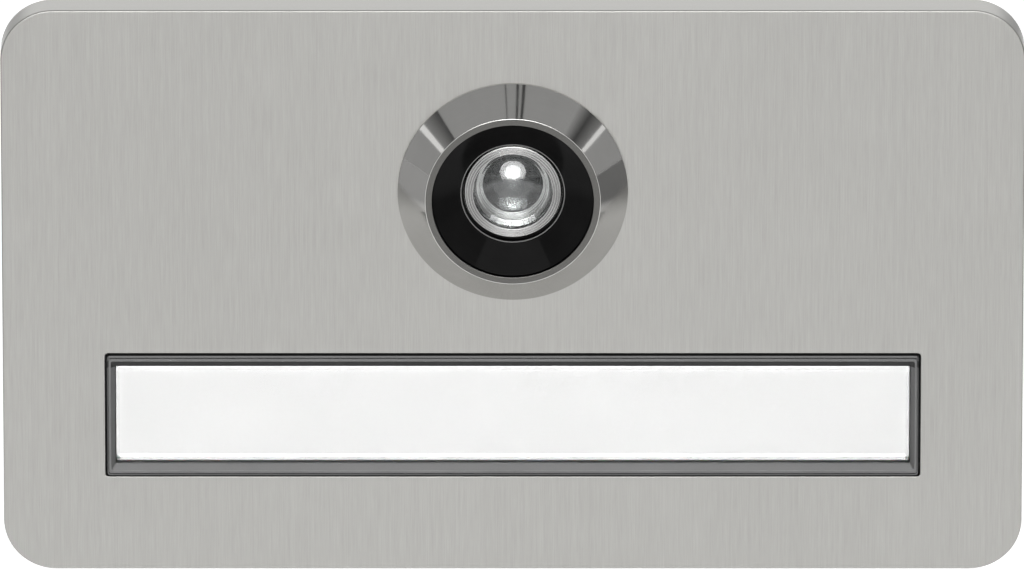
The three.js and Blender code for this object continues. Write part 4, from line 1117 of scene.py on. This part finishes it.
# The cover's bevels gather light and throw it on the label's upper and left edges
def gatherLight(material, edge):
    tree = material.node_tree
    shader = tree.nodes["Principled BSDF"]
    coords = place(tree, "ShaderNodeTexCoord").outputs["Object"]
    split = place(tree, "ShaderNodeSeparateXYZ", {"Vector": coords})
    start, end = (keyZ + value * mm for value in edge["top"])
    top = mapRange(tree, split.outputs["Z"], start, end, 0.0, edge["glow"])
    start, end = (-value * mm for value in edge["left"])
    left = mapRange(tree, split.outputs["X"], start, end, 0.0, edge["glow"])
    steady = shader.inputs["Emission Strength"].default_value
    either = math2(tree, "MAXIMUM", top, left)
    tree.links.new(math2(tree, "ADD", either, steady), shader.inputs["Emission Strength"])


label = {"size": (92.8, 11.4), "corner": 0.4, "front": -3.49, "back": -3.21, "edge": 0.04}


def makeLabel():
    size = label
    wall = roundedWall(size["front"], size["back"], size["edge"], size["edge"], 2)
    rings = boxRings(*size["size"], size["corner"], wall, 0, keyZ / mm)
    piece = slab("name_label_paper", [(rings, "front", "back")])
    gatherLight(paints["paper"], {"top": (4.95, 5.35), "left": (46.12, 46.4), "glow": 0.36})
    finishPiece(piece, paints["paper"], "key", "label_paper", "name_label")


diffuser = {"size": (93.4, 12.0), "corner": 0.3, "front": -3.2, "back": -2.0, "edge": 0.12,
            "well": (26, 7.6), "wellCorner": 0.8, "wellX": 21}


def makeDiffuser():
    size = diffuser
    wall = roundedWall(size["front"], size["back"], size["edge"], size["edge"])
    walls = [(boxRings(*size["size"], size["corner"], wall, 0, keyZ / mm), "front", "back")]
    bowl = [(0, size["back"]), (0.15, size["back"] - 0.2), (0.5, size["back"] - 0.35)]
    for side in (-1, 1):
        well = boxRings(*size["well"], size["wellCorner"], bowl, side * size["wellX"], keyZ / mm)
        walls.append((well, "back", f"well{side}"))
    piece = slab("light_diffuser_opal", walls)
    finishPiece(piece, paints["opal"], "key", "opal_plastic", "light_diffuser")


carrier = {"lip": (98, 17.5), "lipFront": -0.95, "lipBack": 0.25, "raised": (93.4, 12), "front": -2.0,
           "light": (27, 8.5), "lightX": 21, "slot": (6.3, 1.45), "slotZ": 6.975, "clipX": 20,
           "button": 2.2, "buttonEnd": 0.85, "pin": 1.5, "pinX": 43.5, "pinEnd": 6.85,
           "ribs": 4, "rib": (0.7, 2.6), "ribX": 26.5, "ribZ": 6.7, "ribPitch": 3.4}


def makeCarrier():
    size = carrier
    z = keyZ / mm
    lip = boxRings(*size["lip"], 0.5, roundedWall(size["lipFront"], size["lipBack"], 0.1, 0.15), 0, z)
    raised = boxRings(*size["raised"], 0.3, [(0, size["lipFront"]), (0, size["front"] + 0.08),
                                             (0.08, size["front"])], 0, z)
    walls = [(lip, "lip", "back"), (raised, "lip", "front")]
    button = [(0, size["lipBack"]), (0, size["buttonEnd"] - 0.15), (0.15, size["buttonEnd"])]
    walls.append((circleRings(size["button"], button, 0, z), "back", "button"))
    pin = [(0, size["lipBack"] + 0.01), (0, size["pinEnd"] - 0.6), (0.15, size["pinEnd"] - 0.3),
           (0.5, size["pinEnd"])]
    for side in (-1, 1):
        light = [(-0.06, size["front"]), (0, size["front"] + 0.06), (0.4, size["lipBack"] - 0.06),
                 (0.34, size["lipBack"])]
        walls.append((boxRings(*size["light"], 0.6, light, side * size["lightX"], z), "front", "back"))
        walls.append((circleRings(size["pin"], pin, side * size["pinX"], z, 40), "back", f"pin{side}"))
        for up in (-1, 1):
            slot = [(0, size["lipFront"]), (0, size["lipBack"])]
            spot = (side * size["clipX"], z + up * size["slotZ"])
            walls.append((boxRings(*size["slot"], 0.1, slot, *spot, 3), "lip", "back"))
    piece = slab("key_carrier_black", walls)
    for up in (-1, 1):
        for side in (-1, 1):
            rib = slab("rib", [(boxRings(*size["rib"], 0.2, [(0, -0.2), (0.08, 0.45), (0.2, 0.5)]),
                                "low", "high")])
            start = (side * size["ribX"], size["lipBack"], z + up * size["ribZ"])
            step = (side * size["ribPitch"], 0, 0)
            join(piece, rowOf("ribs", rib, size["ribs"], start, step, paints["keyPlastic"]))
    finishPiece(piece, paints["keyPlastic"], "key", "key_plastic", "key_carrier")


spring = {"radius": 2.15, "wire": 0.2, "turns": 5.0, "start": 0.53, "end": 4.72, "closed": 2.15,
          "x": 43.5, "anchor": 5.0, "travel": 1.0}


def makeSpring(name, side):
    size = spring
    values = {"Points": 360, "Turns": size["turns"], "Radius": size["radius"] * mm, "Wire": size["wire"] * mm,
              "Length": (size["end"] - size["start"]) * mm, "Closed length": size["closed"] * mm,
              "Where": (side * size["x"] * mm, size["start"] * mm, keyZ)}
    piece = grow(f"return_spring_{name}_wire", "coil", paints["springSteel"], values)
    finishPiece(piece, paints["springSteel"], "root", "spring_steel", f"return_spring_{name}")
    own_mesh(piece)


makeBezel()
makeWindow()
makeLabel()
makeDiffuser()
makeCarrier()
makeSpring("left", -1)
makeSpring("right", 1)
print("call key made")


# Housing

housing = {"outer": (101, 20.5), "skin": 0.25, "cavity": (98.6, 18.1), "front": -1, "floor": 8, "back": 9.5,
           "bush": 2.85, "bushFront": 5, "bushBore": 1.75, "bushX": 43.5, "post": 2, "postFront": 6.6,
           "screwX": 31, "restX": 8, "screwBore": 1.07, "window": (11.36, 9.2), "windowX": -19.5,
           "ear": 2.9, "earBack": 1, "earX": 40, "earZ": 13.625, "hole": 1.7, "ribs": 18, "ribStart": -34,
           "ribPitch": 4.0, "panel": (46, 12), "panelX": 14.5, "panelRibs": 8, "panelRibStart": -5.8,
           "panelRibPitch": 5.8, "earShape": {"round": 0.25, "steps": 20, "root": 9.6}}


# An ear stands out above or below the housing and is round at its end
def earRings(x, z, way):
    size, ear = housing, housing["earShape"]
    earZ = z + way * size["earZ"]
    rings = []
    for inset, depth in roundedWall(size["front"], size["earBack"], 0.0, ear["round"]):
        radius = size["ear"] - inset
        points = []
        for i in range(ear["steps"] + 1):
            angle = math.pi * i / ear["steps"]
            points.append((x + radius * math.cos(angle), earZ + way * radius * math.sin(angle)))
        points += [(x - radius, z + way * ear["root"]), (x + radius, z + way * ear["root"])]
        rings.append((points, depth))
    return rings


def makeHousing():
    size = housing
    z = keyZ / mm
    front, floor, back, skin = size["front"], size["floor"], size["back"], size["skin"]
    outside = [(0, front), (0, front + 1.6), (skin, front + 1.9), (skin, back - 0.5),
               (skin + 0.1, back - 0.2), (skin + 0.5, back)]
    cavity = [(-0.1, front), (0, front + 0.1), (0, floor - 0.2), (0.2, floor)]
    bush = [(-0.3, floor), (0, floor - 0.3), (0, size["bushFront"] + 0.15), (0.15, size["bushFront"])]
    bore = [(-0.2, size["bushFront"]), (0, size["bushFront"] + 0.2), (0, back - 0.2), (-0.2, back)]
    post = [(-0.2, floor), (0, floor - 0.2), (0, size["postFront"] + 0.05), (0.05, size["postFront"])]
    blind = [(0, size["postFront"]), (0, floor)]
    opening = [(0, floor), (0, back - 0.15), (-0.15, back)]
    recess = [(0, back), (0.1, back - 0.35), (0.3, back - 0.4)]
    walls = [(boxRings(*size["outer"], 1.0, outside, 0, z), "rim", "back"),
             (boxRings(*size["cavity"], 0.4, cavity, 0, z), "rim", "floor")]
    for side in (-1, 1):
        bushX, screwX, restX = side * size["bushX"], side * size["screwX"], side * size["restX"]
        walls.append((circleRings(size["bush"], bush, bushX, z), "floor", f"bush{side}"))
        walls.append((circleRings(size["bushBore"], bore, bushX, z, 40), f"bush{side}", "back"))
        walls.append((circleRings(size["post"], post, screwX, z), "floor", f"post{side}"))
        walls.append((circleRings(size["screwBore"], blind, screwX, z, 32), f"post{side}", f"end{side}"))
        walls.append((circleRings(size["post"], post, restX, z), "floor", f"rest{side}"))
    walls.append((boxRings(*size["window"], 0.4, opening, size["windowX"], z), "floor", "back"))
    walls.append((boxRings(*size["panel"], 1.2, recess, size["panelX"], z), "back", "panel"))
    piece = slab("key_housing_black", walls)
    bore = [(0, front), (0, size["earBack"] - 0.1), (-0.1, size["earBack"])]
    for side in (-1, 1):
        for way in (-1, 1):
            x = side * size["earX"]
            hole = circleRings(size["hole"], bore, x, z + way * size["earZ"], 40)
            ear = slab("ear", [(earRings(x, z, way), "front", "back"), (hole, "front", "back")])
            combine(piece, ear, "UNION")
    for way in (-1, 1):
        rib = slab("rib", [(boxRings(0.9, 0.7, 0.2, [(0.05, 1.1), (0.0, 1.3), (0.0, 8.7), (0.2, 9.2)]),
                            "low", "high")])
        start = (size["ribStart"], 0, z + way * (size["outer"][1] / 2 - 0.35))
        step = (size["ribPitch"], 0, 0)
        join(piece, rowOf("ribs", rib, size["ribs"], start, step, paints["housingPlastic"]))
    rib = slab("rib", [(boxRings(0.8, 11.4, 0.3, [(0, -0.45), (0.06, -0.06), (0.16, 0)]), "low", "high")])
    start, step = (size["panelRibStart"], back, z), (size["panelRibPitch"], 0, 0)
    join(piece, rowOf("ribs", rib, size["panelRibs"], start, step, paints["housingPlastic"]))
    finishPiece(piece, paints["housingPlastic"], "root", "housing_plastic", "key_housing")


makeHousing()
print("housing made")


# Circuit board and what it carries

# A track is (height, left end, right end), counted from the key's middle
board = {"size": (70, 15), "front": 5, "back": 6.6, "screwX": 31, "hole": 1.07, "trackWidth": 0.5,
         "tracks": [(3.2, -28, -3), (4.4, -26, 24), (-4.4, -26, 24), (-3.2, 4, 28), (5.6, -20, 10)],
         "vias": 11, "viaX": -25, "viaZ": 5.9, "viaPitch": 5, "solderX": 2.25, "solderZ": 3.25}


def makeBoard():
    size = board
    z = keyZ / mm
    edge = roundedWall(size["front"], size["back"], 0.05, 0.05, 2)
    walls = [(boxRings(*size["size"], 0.8, edge, 0, z), "front", "back")]
    for side in (-1, 1):
        bore = [(0, size["front"]), (0, size["back"])]
        walls.append((circleRings(size["hole"], bore, side * size["screwX"], z, 32), "front", "back"))
    piece = slab("circuit_board_green", walls)
    finishPiece(piece, paints["boardGreen"], "root", "board_green", "circuit_board")
    tracks = None
    for height, left, right in size["tracks"]:
        rings = boxRings(right - left, size["trackWidth"], 0.24, [(0, -0.02), (0.03, 0.02)],
                         (left + right) / 2, z + height)
        track = slab("circuit_board_tracks", [([(p, size["front"] - d) for p, d in rings], "low", "high")])
        tracks = track if tracks is None else join(tracks, track)
    via = turned("via", [(0.0, -0.02), (0.3, -0.02), (0.42, 0.0), (0.42, 0.03), (0, 0.03)], 0, 0, False, 12)
    start, step = (size["viaX"], size["front"] - 0.02, z + size["viaZ"]), (size["viaPitch"], 0, 0)
    join(tracks, rowOf("vias", via, size["vias"], start, step, paints["solder"]))
    finishPiece(tracks, paints["solder"], "root", "zinc_steel")
    joints = None
    for name, way in (("circuit_board_solder", 1), ("more", -1)):
        lump = turned("lump", [(0.75, 0.0), (0.7, 0.08), (0.42, 0.2), (0.3, 0.5), (0.22, 0.75), (0, 0.8)],
                      0, 0, False, 20)
        start = (-size["solderX"], size["back"], z + way * size["solderZ"])
        pair = rowOf(name, lump, 2, start, (2 * size["solderX"], 0, 0), paints["solder"])
        joints = pair if joints is None else join(joints, pair)
    finishPiece(joints, paints["solder"], "root", "zinc_steel")


boardScrew = {"head": 1.9, "shank": 0.78, "cross": (2.2, 0.5), "crossDepth": 0.75, "thread": 0.95,
              "ridge": 0.15, "pitch": 0.8}


def makeBoardScrew(name, side):
    low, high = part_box(f"board_screw_{name}")
    size = boardScrew
    x, z = side * board["screwX"], keyZ
    top, seat, tip = low.y / mm, board["front"], high.y / mm
    shape = [(0, top), (1.2, top + 0.02), (1.7, top + 0.3, 0.3), (size["head"], top + 0.8, 0.3),
             (size["head"], seat, 0.05), (size["shank"], seat), (size["shank"], tip - 0.6), (0.2, tip, 0.05),
             (0, tip)]
    piece = turned(f"board_screw_{name}_zinc", shape, z, x, closed=False, facets=64)
    cut = [(0, top - 1), (0, top), (0.12, top + size["crossDepth"])]
    for wide, tall in (size["cross"], size["cross"][::-1]):
        cutter = slab("cutter", [(boxRings(wide, tall, 0.08, cut, x, z / mm), "front", "back")])
        combine(piece, cutter)
    thread = threadOn("thread", size["thread"], size["ridge"], seat + 0.2, tip - 0.5, size["pitch"], x, z,
                      paints["zincSteel"])
    finishPiece(join(piece, thread), paints["zincSteel"], "root", "zinc_steel", f"board_screw_{name}")


switch = {"size": (6.2, 6.2), "corner": 0.5, "front": 1.9, "back": 5.0, "well": 1.9, "wellFloor": 3.8,
          "rivet": 0.45, "rivetX": 2.35, "rivetZ": 2.35, "plunger": 1.7, "plungerTip": 0.9,
          "plungerEnd": 2.7}


def makeSwitch():
    size = switch
    z = keyZ / mm
    wall = roundedWall(size["front"], size["back"], 0.2, 0.05)
    well = [(-0.1, size["front"]), (0, size["front"] + 0.1), (0, size["wellFloor"])]
    piece = slab("switch_body_black", [(boxRings(*size["size"], size["corner"], wall, 0, z), "front", "back"),
                                       (circleRings(size["well"], well, 0, z), "front", "well")])
    for up in (-1, 1):
        rivet = slab("rivet", [(circleRings(size["rivet"], [(0, 0.05), (0.0, -0.06), (0.15, -0.1)], count=20),
                                "low", "high")])
        start = (-size["rivetX"], size["front"] + 0.1, z + up * size["rivetZ"])
        join(piece, rowOf("rivets", rivet, 2, start, (2 * size["rivetX"], 0, 0), paints["switchBlack"]))
    finishPiece(piece, paints["switchBlack"], "root", "switch_black", "switch_body")
    wide, tip, end = size["plunger"], size["plungerTip"], size["plungerEnd"]
    shape = [(0, tip), (wide - 0.5, tip + 0.03), (wide - 0.1, tip + 0.15, 0.1), (wide, tip + 0.4, 0.1),
             (wide, end, 0.05), (0, end)]
    plunger = turned("switch_plunger_grey", shape, keyZ, closed=False, facets=64)
    finishPiece(plunger, paints["plungerGrey"], "plunger", "plunger_grey", "switch_plunger")


lamp = {"size": (3.5, 2.8), "x": 21, "bowl": 1.15, "bowlDepth": 0.4}
resistor = {"size": (2.3, 1.5), "x": 12, "front": 4.42, "end": (0.5, 1.6), "endHeight": 0.6, "endX": 1.35}


def makeLamps():
    size = lamp
    z = keyZ / mm
    for name, side in (("left", -1), ("right", 1)):
        low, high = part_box(f"backlight_lamp_{name}")
        front, back = low.y / mm, high.y / mm
        x = side * size["x"]
        body = boxRings(*size["size"], 0.25, roundedWall(front, back, 0.05, 0.0, 2), x, z)
        hollow = [(0, front), (0.05, front + 0.05), (0.35, front + size["bowlDepth"])]
        bowl = circleRings(size["bowl"], hollow, x, z, 40)
        piece = slab(f"backlight_lamp_{name}_cream", [(body, "front", "back"), (bowl, "front", "bowl")])
        finishPiece(piece, paints["lampCream"], "root", "lamp_lens", f"backlight_lamp_{name}")


def makeResistor():
    size = resistor
    x, z, back = size["x"], keyZ / mm, board["front"]
    body = boxRings(*size["size"], 0.08, roundedWall(size["front"], back, 0.08, 0.0, 3), x, z)
    piece = slab("lamp_resistor_body", [(body, "front", "back")])
    finishPiece(piece, paints["ceramic"], "root", "resistor_black", "lamp_resistor")
    wall = roundedWall(-size["endHeight"], 0.0, 0.1, 0.0, 3)
    end = slab("end", [(boxRings(*size["end"], 0.1, wall), "front", "back")])
    start, step = (x - size["endX"], back, z), (2 * size["endX"], 0, 0)
    ends = rowOf("lamp_resistor_ends", end, 2, start, step, paints["solder"])
    finishPiece(ends, paints["solder"], "root", "zinc_steel")


terminal = {"x": -19.5, "pitch": 5.08, "height": 8, "front": 6.6, "back": 15, "well": 1.8, "wellFloor": 13.6,
            "shank": 1.2, "cageBack": 12.7, "cageBore": 2.4, "entryFront": 8.3, "entry": 3.8,
            "entryReach": 6}
terminalScrew = {"tip": 12.5, "shank": 0.8, "seat": 13.6, "head": 1.6, "rim": 0.7, "crown": 1.4,
                 "height": 0.9, "slot": (4, 0.5), "slotFloor": 0.35, "thread": 1.0, "ridge": 0.2,
                 "threadStart": 12.7, "pitch": 0.5}


def makeCage(number, x):
    low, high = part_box(f"terminal_cage_{number}")
    bottom, top = low.z / mm, high.z / mm
    y = (low.y + high.y) / 2 / mm
    wide, deep = (high.x - low.x) / mm, (high.y - low.y) / mm
    wall = roundedWall(bottom, top, 0.12, 0.12, 3)
    bore = [(-0.15, bottom), (0, bottom + 0.15), (0, top - 0.15), (-0.15, top)]
    inner = terminal["cageBore"]
    walls = [(boxRings(wide, deep, 0.3, wall, x, y), "low", "high"),
             (boxRings(inner, inner, 0.3, bore, x, y), "low", "high")]
    cage = slab(f"terminal_cage_{number}_brass", walls, along="Z")
    finishPiece(cage, paints["brass"], "root", "cage_brass", f"terminal_cage_{number}")


def makeTerminalScrew(number, x):
    size = terminalScrew
    seat, back = size["seat"], size["seat"] + size["height"]
    shape = [(0, size["tip"]), (size["shank"], size["tip"], 0.05), (size["shank"], seat),
             (size["head"], seat, 0.05), (size["head"], seat + size["rim"], 0.15), (size["crown"], back, 0.1),
             (0, back)]
    screw = turned(f"terminal_screw_{number}_zinc", shape, keyZ, x, closed=False, facets=64)
    cut = [(0, seat + size["slotFloor"]), (0, seat + 2)]
    slot = slab("slot", [(boxRings(*size["slot"], 0.05, cut, x, keyZ / mm), "front", "back")])
    combine(screw, slot)
    thread = threadOn("thread", size["thread"], size["ridge"], size["threadStart"], seat - 0.2, size["pitch"],
                      x, keyZ, paints["zincSteel"])
    finishPiece(join(screw, thread), paints["zincSteel"], "root", "zinc_steel", f"terminal_screw_{number}")


def makeTerminals():
    size = terminal
    z = keyZ / mm
    width = 2 * size["pitch"]
    wall = roundedWall(size["front"], size["back"], 0.1, 0.35)
    walls = [(boxRings(width, size["height"], 0.3, wall, size["x"], z), "front", "back")]
    poles = [size["x"] - size["pitch"] / 2, size["x"] + size["pitch"] / 2]
    for k, x in enumerate(poles):
        well = [(-0.15, size["back"]), (0, size["back"] - 0.15), (0, size["wellFloor"])]
        shank = [(0, size["wellFloor"]), (0, size["cageBack"] - 0.4)]
        walls.append((circleRings(size["well"], well, x, z), "back", f"well{k}"))
        walls.append((circleRings(size["shank"], shank, x, z, 32), f"well{k}", f"shank{k}"))
    piece = slab("terminal_block_green", walls)
    bottom = z - size["height"] / 2
    for x in poles:
        middle = (size["entryFront"] + size["cageBack"]) / 2
        deep = size["cageBack"] - size["entryFront"]
        entry = slab("entry", [(boxRings(size["entry"], deep, 0.15,
                                         [(0, bottom - 1), (0, bottom + size["entryReach"])],
                                         x, middle), "low", "high")], along="Z")
        combine(piece, entry)
    finishPiece(piece, paints["terminalGreen"], "root", "terminal_green", "terminal_block")
    for number, x in enumerate(poles, 1):
        makeCage(number, x)
        makeTerminalScrew(number, x)


makeBoard()
makeBoardScrew("left", -1)
makeBoardScrew("right", 1)
makeSwitch()
makeLamps()
makeResistor()
makeTerminals()
print("circuit board made")


# Studio: pale floor, soft lights and the camera

studio = {"floorHeight": -0.09, "floorSize": 6.0, "floorColour": 0.88, "world": 0.42,
          "farEnd": -0.36, "nearEnd": -0.13, "farGlow": 0.2, "nearGlow": 0.51}


# The floor glows a little more close to the panel than out in front
def makeFloor():
    half = studio["floorSize"]
    bm = bmesh.new()
    corners = [bm.verts.new((x * half, y * half, studio["floorHeight"]))
               for x, y in ((-1, -1), (1, -1), (1, 1), (-1, 1))]
    bm.faces.new(corners)
    floor = toObject("studio_floor", bm)
    material, tree, shader = startMaterial("paleFloor")
    coords = place(tree, "ShaderNodeTexCoord").outputs["Object"]
    out = place(tree, "ShaderNodeSeparateXYZ", {"Vector": coords}).outputs["Y"]
    glow = mapRange(tree, out, studio["farEnd"], studio["nearEnd"], studio["farGlow"], studio["nearGlow"])
    tree.links.new(glow, shader.inputs["Emission Strength"])
    tone = studio["floorColour"]
    shader.inputs["Base Color"].default_value = (tone, tone, tone, 1)
    shader.inputs["Emission Color"].default_value = (1, 1, 1, 1)
    shader.inputs["Roughness"].default_value = 0.9
    floor.data.materials.append(material)


# A soft box aimed at the panel. Its brightness is what a mirror facing it would show.
def softBox(name, width, height, distance, azimuth, elevation, brightness, outline="RECTANGLE"):
    data = bpy.data.lights.new(name, "AREA")
    data.shape = outline
    data.size, data.size_y = width, height
    data.energy = brightness * width * height * math.pi
    light = bpy.data.objects.new(name, data)
    bpy.context.scene.collection.objects.link(light)
    turn, tilt = math.radians(azimuth), math.radians(elevation)
    back = Vector((math.sin(turn) * math.cos(tilt), -math.cos(turn) * math.cos(tilt), math.sin(tilt)))
    light.location = back * distance
    light.rotation_mode = "QUATERNION"
    light.rotation_quaternion = back.to_track_quat("Z", "Y")
    light.visible_camera = False


# Cards that give the polished parts something dark to show, out of every camera's sight.
# Each is two corners, the axis its brightness changes along, and (place, brightness) at both ends
# of the change.
cards = {"left": ((-1.0, -0.7, 0.46), (-1.0, 0.1, 0.73), "Z", (0.46, 0.3), (0.73, 0.04)),
         "right": ((1.0, -0.7, 0.44), (1.0, 0.1, 0.66), "Z", (0.44, 0.26), (0.66, 0.05)),
         "rightFade": ((1.0, -0.7, 0.66), (1.0, 0.1, 0.95), "Z", (0.66, 0.05), (0.95, 0.42)),
         "topLeft": ((-0.094, -0.8, 1.0), (-0.08, 0.1, 1.0), "Z", (0, 0.03), (1, 0.03)),
         "topMiddle": ((0.043, -0.8, 1.0), (0.075, 0.1, 1.0), "Z", (0, 0.03), (1, 0.03)),
         "topRight": ((0.113, -0.8, 1.0), (0.152, 0.1, 1.0), "Z", (0, 0.02), (1, 0.02)),
         "floorLeft": ((-5.0, -1.5, -0.089), (-0.14, 1.5, -0.089), "X", (-0.14, 1.26), (-0.3, 0.43)),
         "floorRight": ((0.14, -1.5, -0.089), (5.0, 1.5, -0.089), "X", (0.14, 1.26), (0.3, 0.17))}


def makeCards():
    for name, (low, high, axis, first, last) in cards.items():
        x1, y1, z1 = low
        x2, y2, z2 = high
        material, tree, shader = startMaterial(f"card_{name}")
        coords = place(tree, "ShaderNodeTexCoord").outputs["Object"]
        along = place(tree, "ShaderNodeSeparateXYZ", {"Vector": coords}).outputs[axis]
        kind = "LINEAR" if axis == "Z" else "SMOOTHSTEP"
        glow = mapRange(tree, along, first[0], last[0], first[1], last[1], kind)
        tree.links.new(glow, shader.inputs["Emission Strength"])
        shader.inputs["Emission Color"].default_value = (1, 1, 1, 1)
        shader.inputs["Base Color"].default_value = (0.01, 0.01, 0.01, 1)
        shader.inputs["Roughness"].default_value = 1.0
        bm = bmesh.new()
        corners = [(x1, y1, z1), (x1, y2, z1), (x2, y2, z2), (x2, y1, z2)]
        bm.faces.new([bm.verts.new(corner) for corner in corners])
        card = toObject(f"studio_card_{name}", bm)
        card.data.materials.append(material)
        card.visible_camera = False
        card.visible_diffuse = False
        card.visible_shadow = False


def makeLights():
    world = bpy.data.worlds.new("studio")
    bpy.context.scene.world = world
    world.use_nodes = True
    background = world.node_tree.nodes["Background"]
    background.inputs["Color"].default_value = (1, 1, 1, 1)
    background.inputs["Strength"].default_value = studio["world"]
    softBox("keyBox", 1.8, 0.9, 1.5, 0, 42, 1.7)
    softBox("frontCore", 0.3, 0.25, 1.49, 0, 4, 4.6, "ELLIPSE")
    softBox("frontBox", 0.52, 0.42, 1.5, 0, 4, 4.2, "ELLIPSE")
    softBox("frontEdge", 0.8, 0.66, 1.51, 0, 4, 4.4, "ELLIPSE")
    softBox("backBox", 2.4, 0.8, 1.6, 180, 22, 0.9)
    softBox("streakLeft", 0.8, 0.075, 1.12, -78, 21.5, 0.72)
    softBox("streakRight", 0.8, 0.075, 1.12, 78, 22, 0.66)


view = {"lens": 800, "sensor": 36, "tilt": 20.5, "distance": 2.6737, "aimX": -0.094, "aimY": -5,
        "aimRise": 0.7, "clip": (0.1, 50)}


# The camera looks straight on from above and aims a little over the middle of the plate's face
def makeCamera():
    data = bpy.data.cameras.new("camera")
    data.lens, data.sensor_width = view["lens"], view["sensor"]
    camera = bpy.data.objects.new("camera", data)
    bpy.context.scene.collection.objects.link(camera)
    tilt = math.radians(view["tilt"])
    back = Vector((0, -math.cos(tilt), math.sin(tilt)))
    rise = view["aimRise"] * mm
    aim = Vector((view["aimX"] * mm, view["aimY"] * mm + rise * math.sin(tilt), rise * math.cos(tilt)))
    camera.location = aim + back * view["distance"]
    camera.rotation_mode = "QUATERNION"
    camera.rotation_quaternion = back.to_track_quat("Z", "Y")
    data.clip_start, data.clip_end = view["clip"]
    bpy.context.scene.camera = camera


makeFloor()
makeCards()
makeLights()
makeCamera()
bpy.context.scene.view_settings.view_transform = "Standard"
print("studio made")
